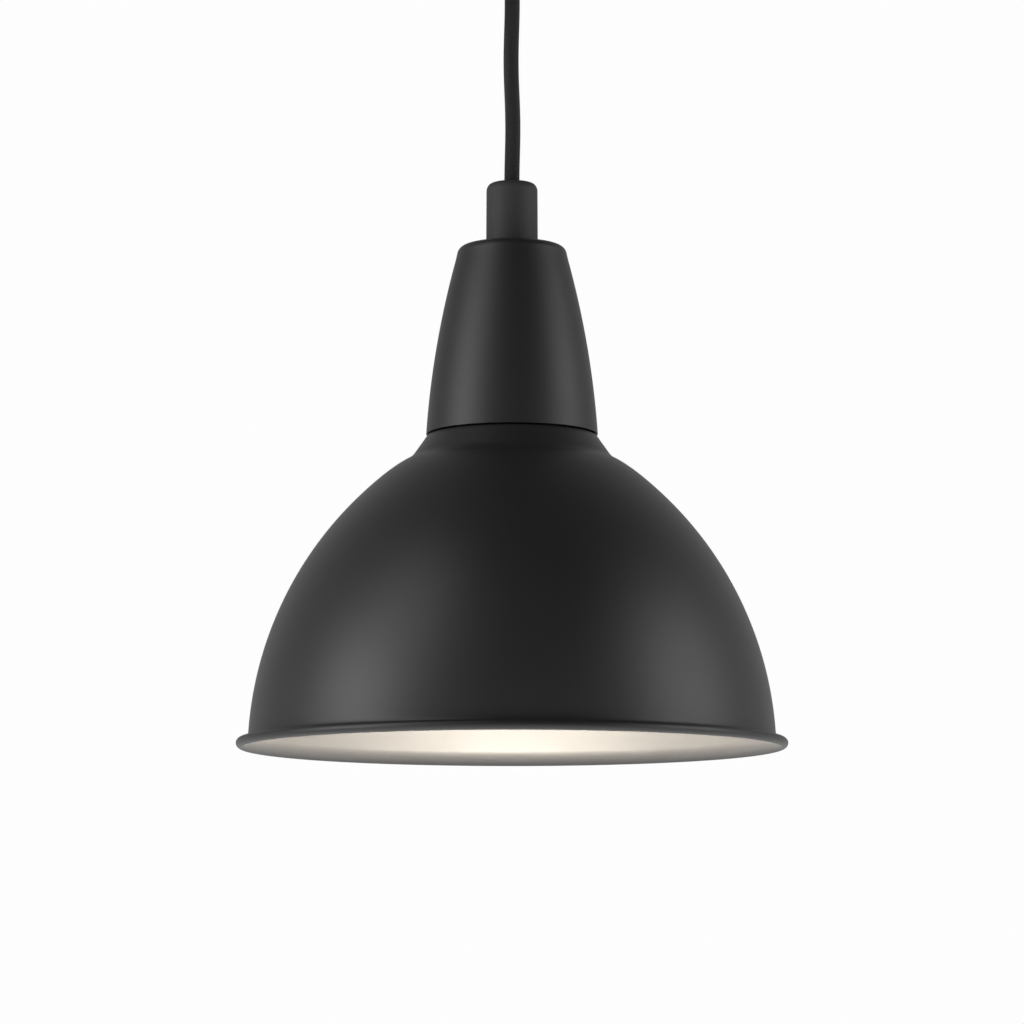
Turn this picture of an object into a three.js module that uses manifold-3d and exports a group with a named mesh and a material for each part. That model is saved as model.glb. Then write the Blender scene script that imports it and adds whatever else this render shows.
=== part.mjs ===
// Pendant ceiling light with a spun metal shade, a tapered metal cap, a textile cord and a
// screw-in filament lamp, hung from a small ceiling canopy.
// Millimetres, +Z up. The origin is the centre of the face that lies against the ceiling.
import * as THREE from 'three';
import { mergeVertices } from 'three/addons/utils/BufferGeometryUtils.js';
import Module from 'manifold-3d';

const wasm = await Module();
wasm.setup();

// ---- Driving dimensions -------------------------------------------------------------------------
const ceilingToRim = 337; // drop from the ceiling to the plane through the middle of the rim bead
const gap = 0.3; // running gap between touching pieces
const sheet = 1.0; // thickness of the spun metal

// Sides of a round piece, by its size
const [largeRound, mediumRound, smallRound, tinyRound] = [40, 24, 20, 12];

const dome = { arcRadius: 141, arcAxisRadius: -37.9, arcHeight: -4.5, wallEndHeight: 4.4 };
const shoulder = {
  kinkRadius: 39.65, kinkHeight: 112.45, pullRadius: 47.7, pullHeight: 108.9, joinHeight: 97,
};
const neck = { radius: 33.3, topHeight: 121.6, holeRadius: 20.3, edge: 0.4, lip: 0.2, plateBend: 0.6 };
const bead = { centreRadius: 105.7, radius: 1.95, grooveStep: 0.3, grooveHeight: 1.0 };
const washerSize = { outerRadius: 28.5, bottomHeight: 119.4, topHeight: 120.3 };

const capSize = { bottomHeight: 122, topHeight: 197.35, bottomRadius: 33.85, edgeRadius: 3.6 };
const capTaper = { apexHeight: 200, apexRadius: 20, bulge: 2.2 };
const gripSize = {
  radius: 10.25, topHeight: 222.7, edgeWide: 2.6, edgeTall: 3.2, boreRadius: 5.2, collarHeight: 5,
};
const gripScrew = {
  height: 212, holeRadius: 2.2, radius: 1.85, sunk: 0.4,
  slotHalfLength: 1.4, slotHalfWidth: 0.4, slotDepth: 1.0,
};
const cordRadius = 3.1;
const cordPassage = 3.45; // radius of every hole that the cord passes
const slip = 0.35; // room round a piece that slides or turns inside another
const overcut = 1; // how far a cutting shape reaches past the piece that it cuts
const tubeSize = { radius: 4.9, bottomHeight: 171, topHeight: 207 };
const nutSize = { acrossFlats: 14, lockLow: 4.8, lockHigh: 1.2, washerRadius: 8.5, washerLow: 0.9 };

const holder = {
  radius: 19.9, boreRadius: 16.4, mouthHeight: 106, topHeight: 152, flangeRadius: 24, flangeThickness: 2.4,
};
const holderDome = {
  bottomHeight: 146, sideHeight: 157, topHeight: 177, collarRadius: 8.5, wall: 2.2, roofUnder: 167.5,
};
const coreSize = { radius: 16, low: 140.1, high: 154, centreHole: 2, sideHole: 1.6, sideHoleX: 10.5 };
const wireScrew = {
  circleRadius: 10, wellLow: 148, wellRadius: 1.9, low: 149, high: 156.2, shank: 1.5, head: 2.6,
};
const screwHead = { thickness: 1.8, slotHalfWidth: 0.35, slotDepth: 0.7 };
const contactSize = {
  shellLow: 115, shellWall: 0.5, shellRise: 1.05, shellPlate: 0.6, shellHole: 7.5,
  leafLength: 6, leafWidth: 2, leafThickness: 0.6, stalkRadius: 1.6, rivetTop: 155.2,
  strapNear: 8, strapFar: 13, strapWidth: 2.4, rivetRadius: 1.25,
};
const wireRadius = 0.95;
const lampTip = 138; // height of the lamp's end contact when it is screwed home
const bulbSize = { baseRadius: 13.1, baseLength: 26, globeRadius: 30, length: 105, glass: 0.9 };
const ringSize = {
  innerRadius: 20.2, outerRadius: 26.5, bottomHeight: 111.6, topHeight: 119.1, ribs: 16, ribDepth: 0.7,
};

const canopySize = { radius: 50, bottomHeight: 312.5, edgeRadius: 6, wall: 1.2 };
const gland = {
  mouthHeight: 301, flexHeight: 304.5, radius: 8, boreRadius: 4.9, threadTop: 321, chamfer: 1.2,
};
const glandScrew = {
  height: 309, holeRadius: 1.9, radius: 1.55, sunk: 0.3,
  slotHalfLength: 1.2, slotHalfWidth: 0.35, slotDepth: 0.9,
};
const flexReach = 2.55; // how far the cord's two pieces stay from the middle of its bend
const bracketSize = {
  halfLength: 45, width: 18, plate: 2, earDrop: 14, slotRadius: 26, slotHalfLength: 4, slotHalfWidth: 2.35,
};
const entryHole = { x: -12, radius: 6.6, cableRadius: 4.4, grommetRadius: 8, grommetLip: 1.6, play: 0.4 };
const sideScrew = {
  height: 327, holeRadius: 2.3, shankRadius: 1.95, shankStart: 38.5, headRadius: 3.6, headLift: 0.4,
  headThickness: 3, nutAcross: 7, nutThickness: 2.6, nutStart: 39.6,
};
const blockSize = {
  halfLength: 9, near: 12, far: 28, lift: 0.6, high: 327.5, entryHeight: 320, poleOffset: 4, middle: 20,
  entryRadius: 1.7, screwHoleRadius: 2.2, shank: 1.2, head: 1.85,
};

// ---- Shape helpers ------------------------------------------------------------------------------
// Height above the rim plane turned into Z in the part's own frame.
const above = (height) => height - ceilingToRim;

// Turns any geometry into an indexed closed mesh of positions only, with its faces pointing out.
function weld(source) {
  const geometry = source.clone();
  for (const name of Object.keys(geometry.attributes)) {
    if (name !== 'position') geometry.deleteAttribute(name);
  }
  const merged = mergeVertices(geometry, 1e-4);
  const kept = [];
  const index = merged.index.array;
  for (let i = 0; i < index.length; i += 3) {
    const [a, b, c] = [index[i], index[i + 1], index[i + 2]];
    if (a !== b && b !== c && c !== a) kept.push(a, b, c);
  }
  if (signedVolume(merged.attributes.position, kept) < 0) kept.reverse();
  merged.setIndex(kept);
  return merged;
}

function signedVolume(position, index) {
  const [a, b, c] = [new THREE.Vector3(), new THREE.Vector3(), new THREE.Vector3()];
  let volume = 0;
  for (let i = 0; i < index.length; i += 3) {
    a.fromBufferAttribute(position, index[i]);
    b.fromBufferAttribute(position, index[i + 1]);
    c.fromBufferAttribute(position, index[i + 2]);
    volume += a.dot(b.cross(c)) / 6;
  }
  return volume;
}

function toManifold(geometry) {
  const clean = weld(geometry);
  const vertProperties = new Float32Array(clean.attributes.position.array);
  const triVerts = new Uint32Array(clean.index.array);
  return new wasm.Manifold(new wasm.Mesh({ numProp: 3, vertProperties, triVerts }));
}

function fromManifold(solid) {
  const mesh = solid.getMesh();
  const geometry = new THREE.BufferGeometry();
  geometry.setAttribute('position', new THREE.BufferAttribute(new Float32Array(mesh.vertProperties), 3));
  geometry.setIndex([...mesh.triVerts]);
  return geometry;
}

const cut = (base, ...tools) =>
  fromManifold(tools.reduce((solid, tool) => solid.subtract(toManifold(tool)), toManifold(base)));
const join = (base, ...extras) =>
  fromManifold(extras.reduce((solid, extra) => solid.add(toManifold(extra)), toManifold(base)));

// Revolves [radius, height] points about the lamp's axis; the profile closes on itself or the axis.
function revolve(profile, segments = mediumRound) {
  const points = profile.map(([radius, height]) => new THREE.Vector2(radius, above(height)));
  const closesOnAxis = profile[0][0] === 0 && profile.at(-1)[0] === 0;
  if (!closesOnAxis) points.push(points[0].clone());
  return new THREE.LatheGeometry(points, segments).rotateX(Math.PI / 2);
}

// A plain ring between two radii and two heights.
const ring = (inner, outer, low, high, segments = smallRound) =>
  revolve([[inner, low], [outer, low], [outer, high], [inner, high]], segments);

// A box from its lowest to its highest corner, with heights above the rim plane.
function block([x0, y0, low], [x1, y1, high]) {
  const box = new THREE.BoxGeometry(x1 - x0, y1 - y0, high - low);
  return box.translate((x0 + x1) / 2, (y0 + y1) / 2, above((low + high) / 2));
}

// A round bar between two points, with heights above the rim plane.
function bar(from, to, radius, segments = 12) {
  const start = new THREE.Vector3(from[0], from[1], above(from[2]));
  const end = new THREE.Vector3(to[0], to[1], above(to[2]));
  const along = end.clone().sub(start);
  const upright = new THREE.Vector3(0, 1, 0);
  const turn = new THREE.Quaternion().setFromUnitVectors(upright, along.clone().normalize());
  const cylinder = new THREE.CylinderGeometry(radius, radius, along.length(), segments);
  return cylinder.applyQuaternion(turn).translate(...start.add(end).multiplyScalar(0.5).toArray());
}

// A tube along a smooth curve through hand-placed points.
function flex(points, radius, sides, steps) {
  const section = new THREE.Shape();
  for (let i = 0; i < sides; i += 1) {
    const angle = (2 * Math.PI * i) / sides;
    const [x, y] = [radius * Math.cos(angle), radius * Math.sin(angle)];
    if (i === 0) section.moveTo(x, y);
    else section.lineTo(x, y);
  }
  const places = points.map(([x, y, height]) => new THREE.Vector3(x, y, above(height)));
  const path = new THREE.CatmullRomCurve3(places);
  return new THREE.ExtrudeGeometry(section, { steps, extrudePath: path, bevelEnabled: false });
}

// A hexagonal nut round the lamp's axis.
function hexNut(acrossFlats, holeRadius, low, high) {
  const outline = new THREE.Shape();
  const corner = acrossFlats / 2 / Math.cos(Math.PI / 6);
  for (let i = 0; i < 6; i += 1) {
    const angle = (Math.PI * i) / 3;
    if (i === 0) outline.moveTo(corner, 0);
    else outline.lineTo(corner * Math.cos(angle), corner * Math.sin(angle));
  }
  const hole = new THREE.Path().absarc(0, 0, holeRadius, 0, 2 * Math.PI, true);
  outline.holes.push(hole);
  const options = { depth: high - low, bevelEnabled: false, curveSegments: tinyRound };
  return new THREE.ExtrudeGeometry(outline, options).translate(0, 0, above(low));
}

// Points along an arc in the [radius, height] plane, angles in degrees.
function arc(centreRadius, centreHeight, wide, tall, from, to, steps) {
  return Array.from({ length: steps + 1 }, (_, i) => {
    const angle = THREE.MathUtils.degToRad(from + ((to - from) * i) / steps);
    return [centreRadius + wide * Math.cos(angle), centreHeight + tall * Math.sin(angle)];
  });
}

// Points along a quadratic curve in the [radius, height] plane.
function bend(start, pull, end, steps) {
  const curve = new THREE.QuadraticBezierCurve(
    new THREE.Vector2(...start), new THREE.Vector2(...pull), new THREE.Vector2(...end));
  return curve.getPoints(steps).map((point) => [point.x, point.y]);
}

// The same path moved sideways by the metal's thickness, towards the inside of the hollow.
function offsetInward(path, distance) {
  return path.map((point, i) => {
    const before = path[Math.max(i - 1, 0)];
    const after = path[Math.min(i + 1, path.length - 1)];
    const [run, fall] = [after[0] - before[0], after[1] - before[1]];
    const length = Math.hypot(run, fall);
    return [point[0] + (fall / length) * distance, point[1] - (run / length) * distance];
  });
}

// ---- The model ----------------------------------------------------------------------------------
const model = new THREE.Group();
const blackPaint = { color: 0x2a2a2b, roughness: 0.55, metalness: 0.1 };
const blackPlastic = { color: 0x222223, roughness: 0.5, metalness: 0 };
const textile = { color: 0x1c1c1d, roughness: 0.95, metalness: 0 };
const zinc = { color: 0xb4b8ba, roughness: 0.4, metalness: 1 };
const brass = { color: 0xc8a04a, roughness: 0.35, metalness: 1 };
const nickel = { color: 0xc9c6bd, roughness: 0.28, metalness: 1 };
const ceramic = { color: 0xf1efe8, roughness: 0.4, metalness: 0 };
const rubber = { color: 0x18181a, roughness: 0.8, metalness: 0 };
const glass = { color: 0xf6f4ee, roughness: 0.04, metalness: 0 };
const whitePlastic = { color: 0xe9e8e2, roughness: 0.5, metalness: 0 };
const blueWire = { ...whitePlastic, color: 0x2c62a8 };
const brownWire = { ...whitePlastic, color: 0x6d4223 };
const litFilament = { color: 0xffc764, roughness: 0.6, metalness: 0, emissive: 0xffb35a };

function place(name, geometry, finish) {
  const mesh = new THREE.Mesh(weld(geometry), new THREE.MeshStandardMaterial(finish));
  mesh.name = name;
  model.add(mesh);
}

// ---- Shade --------------------------------------------------------------------------------------
const domeRadius = (height) =>
  dome.arcAxisRadius + Math.sqrt(dome.arcRadius ** 2 - (height - dome.arcHeight) ** 2);

function shadeSkin() {
  const join0 = [domeRadius(shoulder.joinHeight), shoulder.joinHeight];
  const kink = [shoulder.kinkRadius, shoulder.kinkHeight];
  const top = bend(kink, [shoulder.pullRadius, shoulder.pullHeight], join0, 3);
  const side = [];
  const steps = 6;
  for (let i = 1; i <= steps; i += 1) {
    const height = shoulder.joinHeight + ((dome.wallEndHeight - shoulder.joinHeight) * i) / steps;
    side.push([domeRadius(height), height]);
  }
  return [[neck.radius + neck.lip, neck.topHeight - neck.edge], ...top, ...side];
}

function makeShade() {
  const skin = shadeSkin();
  const wallEnd = skin.at(-1);
  const roll = arc(bead.centreRadius, 0, bead.radius, bead.radius, 120, -90, 6);
  const groove = bend(wallEnd, [wallEnd[0] + bead.grooveStep, bead.grooveHeight], roll[0], 2).slice(1, -1);
  const inner = offsetInward(skin, sheet).slice(1);
  const innerEnd = inner.at(-1);
  const flare = bend(roll.at(-1), [innerEnd[0], 0], innerEnd, 3).slice(1, -1);
  const plateUnder = neck.topHeight - sheet;
  const profile = [
    [neck.holeRadius, neck.topHeight], [neck.radius - neck.edge, neck.topHeight], ...skin, ...groove, ...roll,
    ...flare, ...inner.reverse(), [neck.radius - sheet + neck.plateBend, plateUnder],
    [neck.holeRadius, plateUnder],
  ];
  place('shade', revolve(profile, largeRound), blackPaint);
}

function makeShadeFixing() {
  const { outerRadius, bottomHeight, topHeight } = washerSize;
  const washer = ring(neck.holeRadius + 0.4, outerRadius, bottomHeight, topHeight, mediumRound);
  place('shade_washer', washer, rubber);
  const outline = new THREE.Shape();
  const samples = ringSize.ribs * 3;
  for (let i = 0; i < samples; i += 1) {
    const angle = (2 * Math.PI * i) / samples;
    const radius = ringSize.outerRadius + ringSize.ribDepth * Math.cos(ringSize.ribs * angle);
    const [x, y] = [radius * Math.cos(angle), radius * Math.sin(angle)];
    if (i === 0) outline.moveTo(x, y);
    else outline.lineTo(x, y);
  }
  outline.holes.push(new THREE.Path().absarc(0, 0, ringSize.innerRadius, 0, 2 * Math.PI, true));
  const depth = ringSize.topHeight - ringSize.bottomHeight;
  const body = new THREE.ExtrudeGeometry(outline, { depth, bevelEnabled: false, curveSegments: mediumRound });
  place('shade_ring', body.translate(0, 0, above(ringSize.bottomHeight)), blackPlastic);
}

// ---- Cap and cord grip --------------------------------------------------------------------------
// The hole for a set screw at the back, from near the axis to outside a round wall.
function screwHole({ height, holeRadius }, from, wallRadius) {
  return bar([0, from, height], [0, wallRadius + overcut, height], holeRadius);
}

// A slotted set screw at the back, sunk a little into a round wall.
function setScrew({ height, radius, sunk, slotHalfLength, slotHalfWidth, slotDepth }, from, wallRadius) {
  const end = wallRadius - sunk;
  const slot = block(
    [-slotHalfLength, end - slotDepth, height - slotHalfWidth],
    [slotHalfLength, end + overcut, height + slotHalfWidth]);
  return cut(bar([0, from, height], [0, end, height], radius), slot);
}

function capRadius(height) {
  const along = (height - capSize.bottomHeight) / (capTaper.apexHeight - capSize.bottomHeight);
  const straight = capSize.bottomRadius + (capTaper.apexRadius - capSize.bottomRadius) * along;
  return straight + 4 * capTaper.bulge * along * (1 - along);
}

function makeCap() {
  const sideTop = capSize.topHeight - capSize.edgeRadius;
  const edgeCentre = capRadius(sideTop) - capSize.edgeRadius;
  const skin = arc(edgeCentre, sideTop, capSize.edgeRadius, capSize.edgeRadius, 90, 12, 3);
  const steps = 4;
  for (let i = 1; i <= steps; i += 1) {
    const height = sideTop + ((capSize.bottomHeight - sideTop) * i) / steps;
    skin.push([capRadius(height), height]);
  }
  const hole = tubeSize.radius + 0.4;
  const under = offsetInward(skin, sheet);
  under[0] = [edgeCentre, capSize.topHeight - sheet];
  under[under.length - 1][1] = capSize.bottomHeight;
  const profile = [
    [hole, capSize.topHeight], ...skin, ...under.reverse(), [hole, capSize.topHeight - sheet],
  ];
  place('cap', revolve(profile, 32), blackPaint);
}

function makeCordGrip() {
  const { radius, topHeight, edgeWide, edgeTall, boreRadius, collarHeight } = gripSize;
  const base = capSize.topHeight + gap;
  const boreTop = topHeight - collarHeight;
  const edge = arc(radius - edgeWide, topHeight - edgeTall, edgeWide, edgeTall, 90, 0, 4);
  const body = revolve(
    [[cordPassage, topHeight], ...edge, [radius, base], [boreRadius, base], [boreRadius, boreTop],
      [cordPassage, boreTop]]);
  place('cord_grip', cut(body, screwHole(gripScrew, cordPassage, radius)), blackPlastic);
  const insert = ring(cordPassage, boreRadius - slip, tubeSize.topHeight + 1, boreTop - 1);
  place('grip_insert', insert, whitePlastic);
  place('grip_screw', setScrew(gripScrew, boreRadius + 0.1, radius), blackPlastic);
}

function makeCentreTube() {
  const { radius, bottomHeight, topHeight } = tubeSize;
  const { acrossFlats, lockLow, lockHigh, washerRadius, washerLow } = nutSize;
  place('threaded_tube', ring(cordPassage + 0.05, radius, bottomHeight, topHeight), zinc);
  const plateUnder = capSize.topHeight - sheet;
  place('star_washer', ring(radius + slip, washerRadius, plateUnder - washerLow, plateUnder - gap), zinc);
  place('lock_nut', hexNut(acrossFlats, radius + slip, plateUnder - lockLow, plateUnder - lockHigh), zinc);
}

// ---- Lampholder ---------------------------------------------------------------------------------
function makeHolderShells() {
  const { radius, boreRadius, mouthHeight, topHeight, flangeRadius, flangeThickness } = holder;
  const flangeLow = neck.topHeight + gap;
  const flangeHigh = flangeLow + flangeThickness;
  place('holder_skirt', revolve([
    [boreRadius, mouthHeight], [radius, mouthHeight], [radius, flangeLow], [flangeRadius, flangeLow],
    [flangeRadius, flangeHigh], [radius, flangeHigh], [radius, topHeight], [boreRadius, topHeight],
  ]), blackPlastic);
  const { bottomHeight, sideHeight, collarRadius, wall, roofUnder } = holderDome;
  const lip = radius + slip;
  const boreThread = tubeSize.radius + gap;
  const outerRoof = bend(
    [lip + 2, sideHeight + 1.5], [lip + 1, sideHeight + 10], [collarRadius + 0.5, roofUnder + 2], 3);
  const innerRoof = bend([8, roofUnder - 0.5], [lip - 1.5, roofUnder - 3], [lip, sideHeight - 0.5], 3);
  place('holder_dome', revolve([
    [lip, bottomHeight], [lip + wall, bottomHeight], [lip + wall, sideHeight], ...outerRoof,
    [collarRadius, holderDome.topHeight], [boreThread, holderDome.topHeight], [boreThread, roofUnder],
    ...innerRoof,
  ]), blackPlastic);
}

function makeHolderCore() {
  const { radius, low, high, centreHole, sideHole, sideHoleX } = coreSize;
  const { circleRadius, wellLow, wellRadius } = wireScrew;
  const solid = revolve([[0, low], [radius, low], [radius, high], [0, high]]);
  const holes = [[0, centreHole], [sideHoleX, sideHole]].map(([x, holeRadius]) =>
    bar([x, 0, low - overcut], [x, 0, high + overcut], holeRadius));
  const wells = [-1, 1].map((side) =>
    bar([0, side * circleRadius, wellLow], [0, side * circleRadius, high + overcut], wellRadius));
  place('holder_core', cut(solid, ...holes, ...wells), ceramic);
}

function makeContacts() {
  const { shellLow, shellWall, shellRise, shellPlate, shellHole, rivetTop } = contactSize;
  const { leafLength, leafWidth, leafThickness, stalkRadius } = contactSize;
  const { strapNear, strapFar, strapWidth, rivetRadius } = contactSize;
  const shellInner = bulbSize.baseRadius + slip;
  const shellOuter = shellInner + shellWall;
  const shellTop = lampTip + shellRise;
  place('screw_shell', revolve([
    [shellInner, shellLow], [shellOuter, shellLow], [shellOuter, shellTop], [shellHole, shellTop],
    [shellHole, shellTop - shellPlate], [shellInner, shellTop - shellPlate],
  ]), brass);
  const leafLow = lampTip + gap;
  const leaf = block([-leafLength, -leafWidth, leafLow], [leafLength, leafWidth, leafLow + leafThickness]);
  const stalk = bar([0, 0, leafLow + leafThickness / 2], [0, 0, rivetTop], stalkRadius);
  place('centre_contact', join(leaf, stalk), brass);
  const [strapLow, strapHigh] = [shellTop + gap, shellTop + gap + 0.45];
  const strap = block([strapNear, -strapWidth, strapLow], [strapFar, strapWidth, strapHigh]);
  const rivet = bar([coreSize.sideHoleX, 0, strapLow + 0.2], [coreSize.sideHoleX, 0, rivetTop], rivetRadius);
  place('side_contact', join(strap, rivet), brass);
}

function slottedScrew(x, y, low, high, shank, head) {
  const { thickness, slotHalfWidth, slotDepth } = screwHead;
  const under = high - thickness;
  const solid = revolve(
    [[0, low], [shank, low], [shank, under], [head, under], [head, high], [0, high]], tinyRound);
  const slot = block(
    [x - head - overcut, y - slotHalfWidth, high - slotDepth],
    [x + head + overcut, y + slotHalfWidth, high + overcut]);
  return cut(solid.translate(x, y, 0), slot);
}

function makeHolderWiring() {
  const { circleRadius, low, high, shank, head } = wireScrew;
  [[-1, 'front', blueWire], [1, 'back', brownWire]].forEach(([side, word, insulation]) => {
    const screw = slottedScrew(0, side * circleRadius, low, high, shank, head);
    place(`holder_screw_${word}`, screw, zinc);
    const route = [
      [0, side * 1.4, 165.6], [0, side * 1.6, 163], [0, side * 3.2, 159.5], [0, side * 5, 157],
      [0, side * 6.4, 155.8],
    ];
    place(`holder_wire_${word}`, flex(route, wireRadius, 8, 8), insulation);
  });
}

// ---- Lamp ---------------------------------------------------------------------------------------
function makeBulbBase() {
  const { baseRadius, baseLength } = bulbSize;
  const inner = baseRadius - 0.8;
  const bottom = lampTip - baseLength;
  place('bulb_base', revolve([
    [inner, bottom], [baseRadius, bottom], [baseRadius, 131.2], [11.6, 132.2], [11, 132.2], [11, 131.6],
    [inner, 130.6],
  ]), nickel);
  const insulator = [[0, 131.8], [10.7, 131.8], [10.7, 132.6], [5.2, 136], [0, 136]];
  place('bulb_insulator', revolve(insulator, smallRound), blackPlastic);
  const button = [[0, 136.3], [4.6, 136.3], [4.6, 137.2], [3.4, lampTip - 0.2], [1.5, lampTip], [0, lampTip]];
  place('bulb_contact', revolve(button, tinyRound), nickel);
}

function bulbOutline(shrink) {
  const { globeRadius, length } = bulbSize;
  const centre = lampTip - length + globeRadius;
  const radius = globeRadius - shrink;
  const joinAngle = THREE.MathUtils.degToRad(40);
  const joinPoint = [radius * Math.cos(joinAngle), centre + radius * Math.sin(joinAngle)];
  const curve = new THREE.CubicBezierCurve(
    new THREE.Vector2(11.9 - shrink, 112), new THREE.Vector2(12.1 - shrink, 103),
    new THREE.Vector2(joinPoint[0] - 9, joinPoint[1] + 10.7), new THREE.Vector2(...joinPoint));
  const throat = curve.getPoints(4).map((point) => [point.x, point.y]);
  const globe = arc(0, centre, radius, radius, 40, -90, 6).slice(1, -1);
  return [[11.9 - shrink, 118], ...throat, ...globe, [0, centre - radius]];
}

function makeBulbGlass() {
  const outside = bulbOutline(0);
  const inside = bulbOutline(bulbSize.glass);
  place('bulb_envelope', revolve([...outside.reverse(), ...inside]), glass);
  place('bulb_stem', revolve([
    [0, 114], [9.4, 114], [9.4, 112.5], [5.2, 106], [3.6, 99], [3.2, 93], [1.4, 91], [1.4, 59], [0, 57.5],
  ], tinyRound), glass);
}

function makeFilaments() {
  const count = 4;
  for (let i = 0; i < count; i += 1) {
    const angle = (2 * Math.PI * (i + 0.5)) / count;
    const [cos, sin] = [Math.cos(angle), Math.sin(angle)];
    const stick = bar([7.5 * cos, 7.5 * sin, 91], [10.5 * cos, 10.5 * sin, 58], 0.9, 8);
    place(`filament_${i + 1}`, stick, litFilament);
  }
}

// ---- Cord ---------------------------------------------------------------------------------------
function makeCord() {
  const flexTop = gland.flexHeight + flexReach;
  const flexBottom = gland.flexHeight - flexReach;
  const straight = (low, high, steps) =>
    flex([[0, 0, low], [0, 0, (low + high) / 2], [0, 0, high]], cordRadius, 12, steps);
  place('cord', straight(221, flexBottom, 5), textile);
  place('cord_tail', straight(166, 220.7, 4), textile);
  place('cord_head', straight(flexTop, 326, 2), textile);
  const knuckle = new THREE.SphereGeometry(2.2, tinyRound, 6).translate(0, 0, above(gland.flexHeight));
  place('cord_bend', knuckle, textile);
}

// ---- Canopy -------------------------------------------------------------------------------------
const canopyTop = ceilingToRim - gap;
const canopyFloor = canopySize.bottomHeight + canopySize.wall;

function makeCanopyCup() {
  const { radius, bottomHeight, edgeRadius, wall } = canopySize;
  const edge = arc(radius - edgeRadius, bottomHeight + edgeRadius, edgeRadius, edgeRadius, -90, 0, 4);
  const innerEdge = edgeRadius - wall;
  const inner = arc(radius - edgeRadius, bottomHeight + edgeRadius, innerEdge, innerEdge, 0, -90, 3);
  const hole = gland.boreRadius + 0.4;
  const cup = revolve([
    [hole, bottomHeight], ...edge, [radius, canopyTop], [radius - wall, canopyTop], ...inner,
    [hole, canopyFloor],
  ], 32);
  const { height, holeRadius } = sideScrew;
  const holes = [-1, 1].map((side) =>
    bar([side * (radius - 5), 0, height], [side * (radius + 5), 0, height], holeRadius));
  place('canopy_cup', cut(cup, ...holes), blackPaint);
}

function makeGland() {
  const { mouthHeight, flexHeight, radius, boreRadius, threadTop, chamfer } = gland;
  const seat = canopySize.bottomHeight - gap;
  const barrel = revolve([
    [6.5, mouthHeight], [7.2, mouthHeight], [radius, mouthHeight + chamfer], [radius, seat],
    [boreRadius, seat],
    [boreRadius, threadTop], [cordPassage, threadTop], [cordPassage, seat - 0.4], [boreRadius, seat - 1],
    [boreRadius, flexHeight - 1], [5.4, mouthHeight + chamfer],
  ], smallRound);
  place('cord_gland', cut(barrel, screwHole(glandScrew, cordPassage + slip, radius)), blackPlastic);
  place('gland_bush', ring(cordPassage - 0.05, boreRadius - slip, flexHeight + 2.2, seat - 1.5), rubber);
  place('gland_screw', setScrew(glandScrew, boreRadius, radius), blackPlastic);
  place('gland_washer', ring(boreRadius + slip, 9, canopyFloor + gap, canopyFloor + 1.1), zinc);
  const [nutLow, nutHigh] = [canopyFloor + 1.4, canopyFloor + 5];
  place('gland_nut', hexNut(nutSize.acrossFlats, boreRadius + slip, nutLow, nutHigh), zinc);
}

function makeCanopyFixings() {
  const { height, holeRadius, shankRadius, shankStart, headRadius, headThickness } = sideScrew;
  const { nutAcross, nutThickness, nutStart } = sideScrew;
  const headStart = canopySize.radius + sideScrew.headLift;
  [[-1, 'left'], [1, 'right']].forEach(([side, word]) => {
    const at = (x) => [side * x, 0, height];
    const shank = bar(at(shankStart), at(headStart + 0.6), shankRadius, 12);
    const head = bar(at(headStart), at(headStart + headThickness), headRadius, 16);
    place(`canopy_screw_${word}`, join(shank, head), blackPaint);
    const nut = hexNut(nutAcross, holeRadius, 0, nutThickness).translate(0, 0, -above(0));
    nut.rotateY(side * Math.PI / 2);
    place(`canopy_nut_${word}`, nut.translate(side * nutStart, 0, above(height)), zinc);
  });
}

function makeTerminals() {
  const { halfLength, near, far, lift, high, entryHeight: entry, poleOffset, middle } = blockSize;
  const { entryRadius, screwHoleRadius, shank, head } = blockSize;
  const housing = block([-halfLength, near, canopyFloor + lift], [halfLength, far, high]);
  const tools = [-1, 1].flatMap((side) => {
    const x = side * poleOffset;
    return [
      bar([x, near - overcut, entry], [x, far + overcut, entry], entryRadius),
      bar([x, middle, entry], [x, middle, high + overcut], screwHoleRadius),
    ];
  });
  place('terminal_block', cut(housing, ...tools), whitePlastic);
  [[-1, 'left', blueWire], [1, 'right', brownWire]].forEach(([side, word, insulation]) => {
    const screw = slottedScrew(side * poleOffset, middle, entry + shank, high - lift, shank, head);
    place(`block_screw_${word}`, screw, zinc);
    const route = [
      [side * 1.4, 0, 326.4], [side * 1.7, 0.3, 328.4], [side * 2.6, 2.2, 330], [side * 3.6, 5.2, 329.2],
      [side * 4, 7.8, 325.8], [side * 4, 9.4, 322.2], [side * 4, 11.2, 320.4], [side * 4, 15, entry],
    ];
    place(`lead_${word}`, flex(route, wireRadius, 8, 12), insulation);
  });
}

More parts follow.
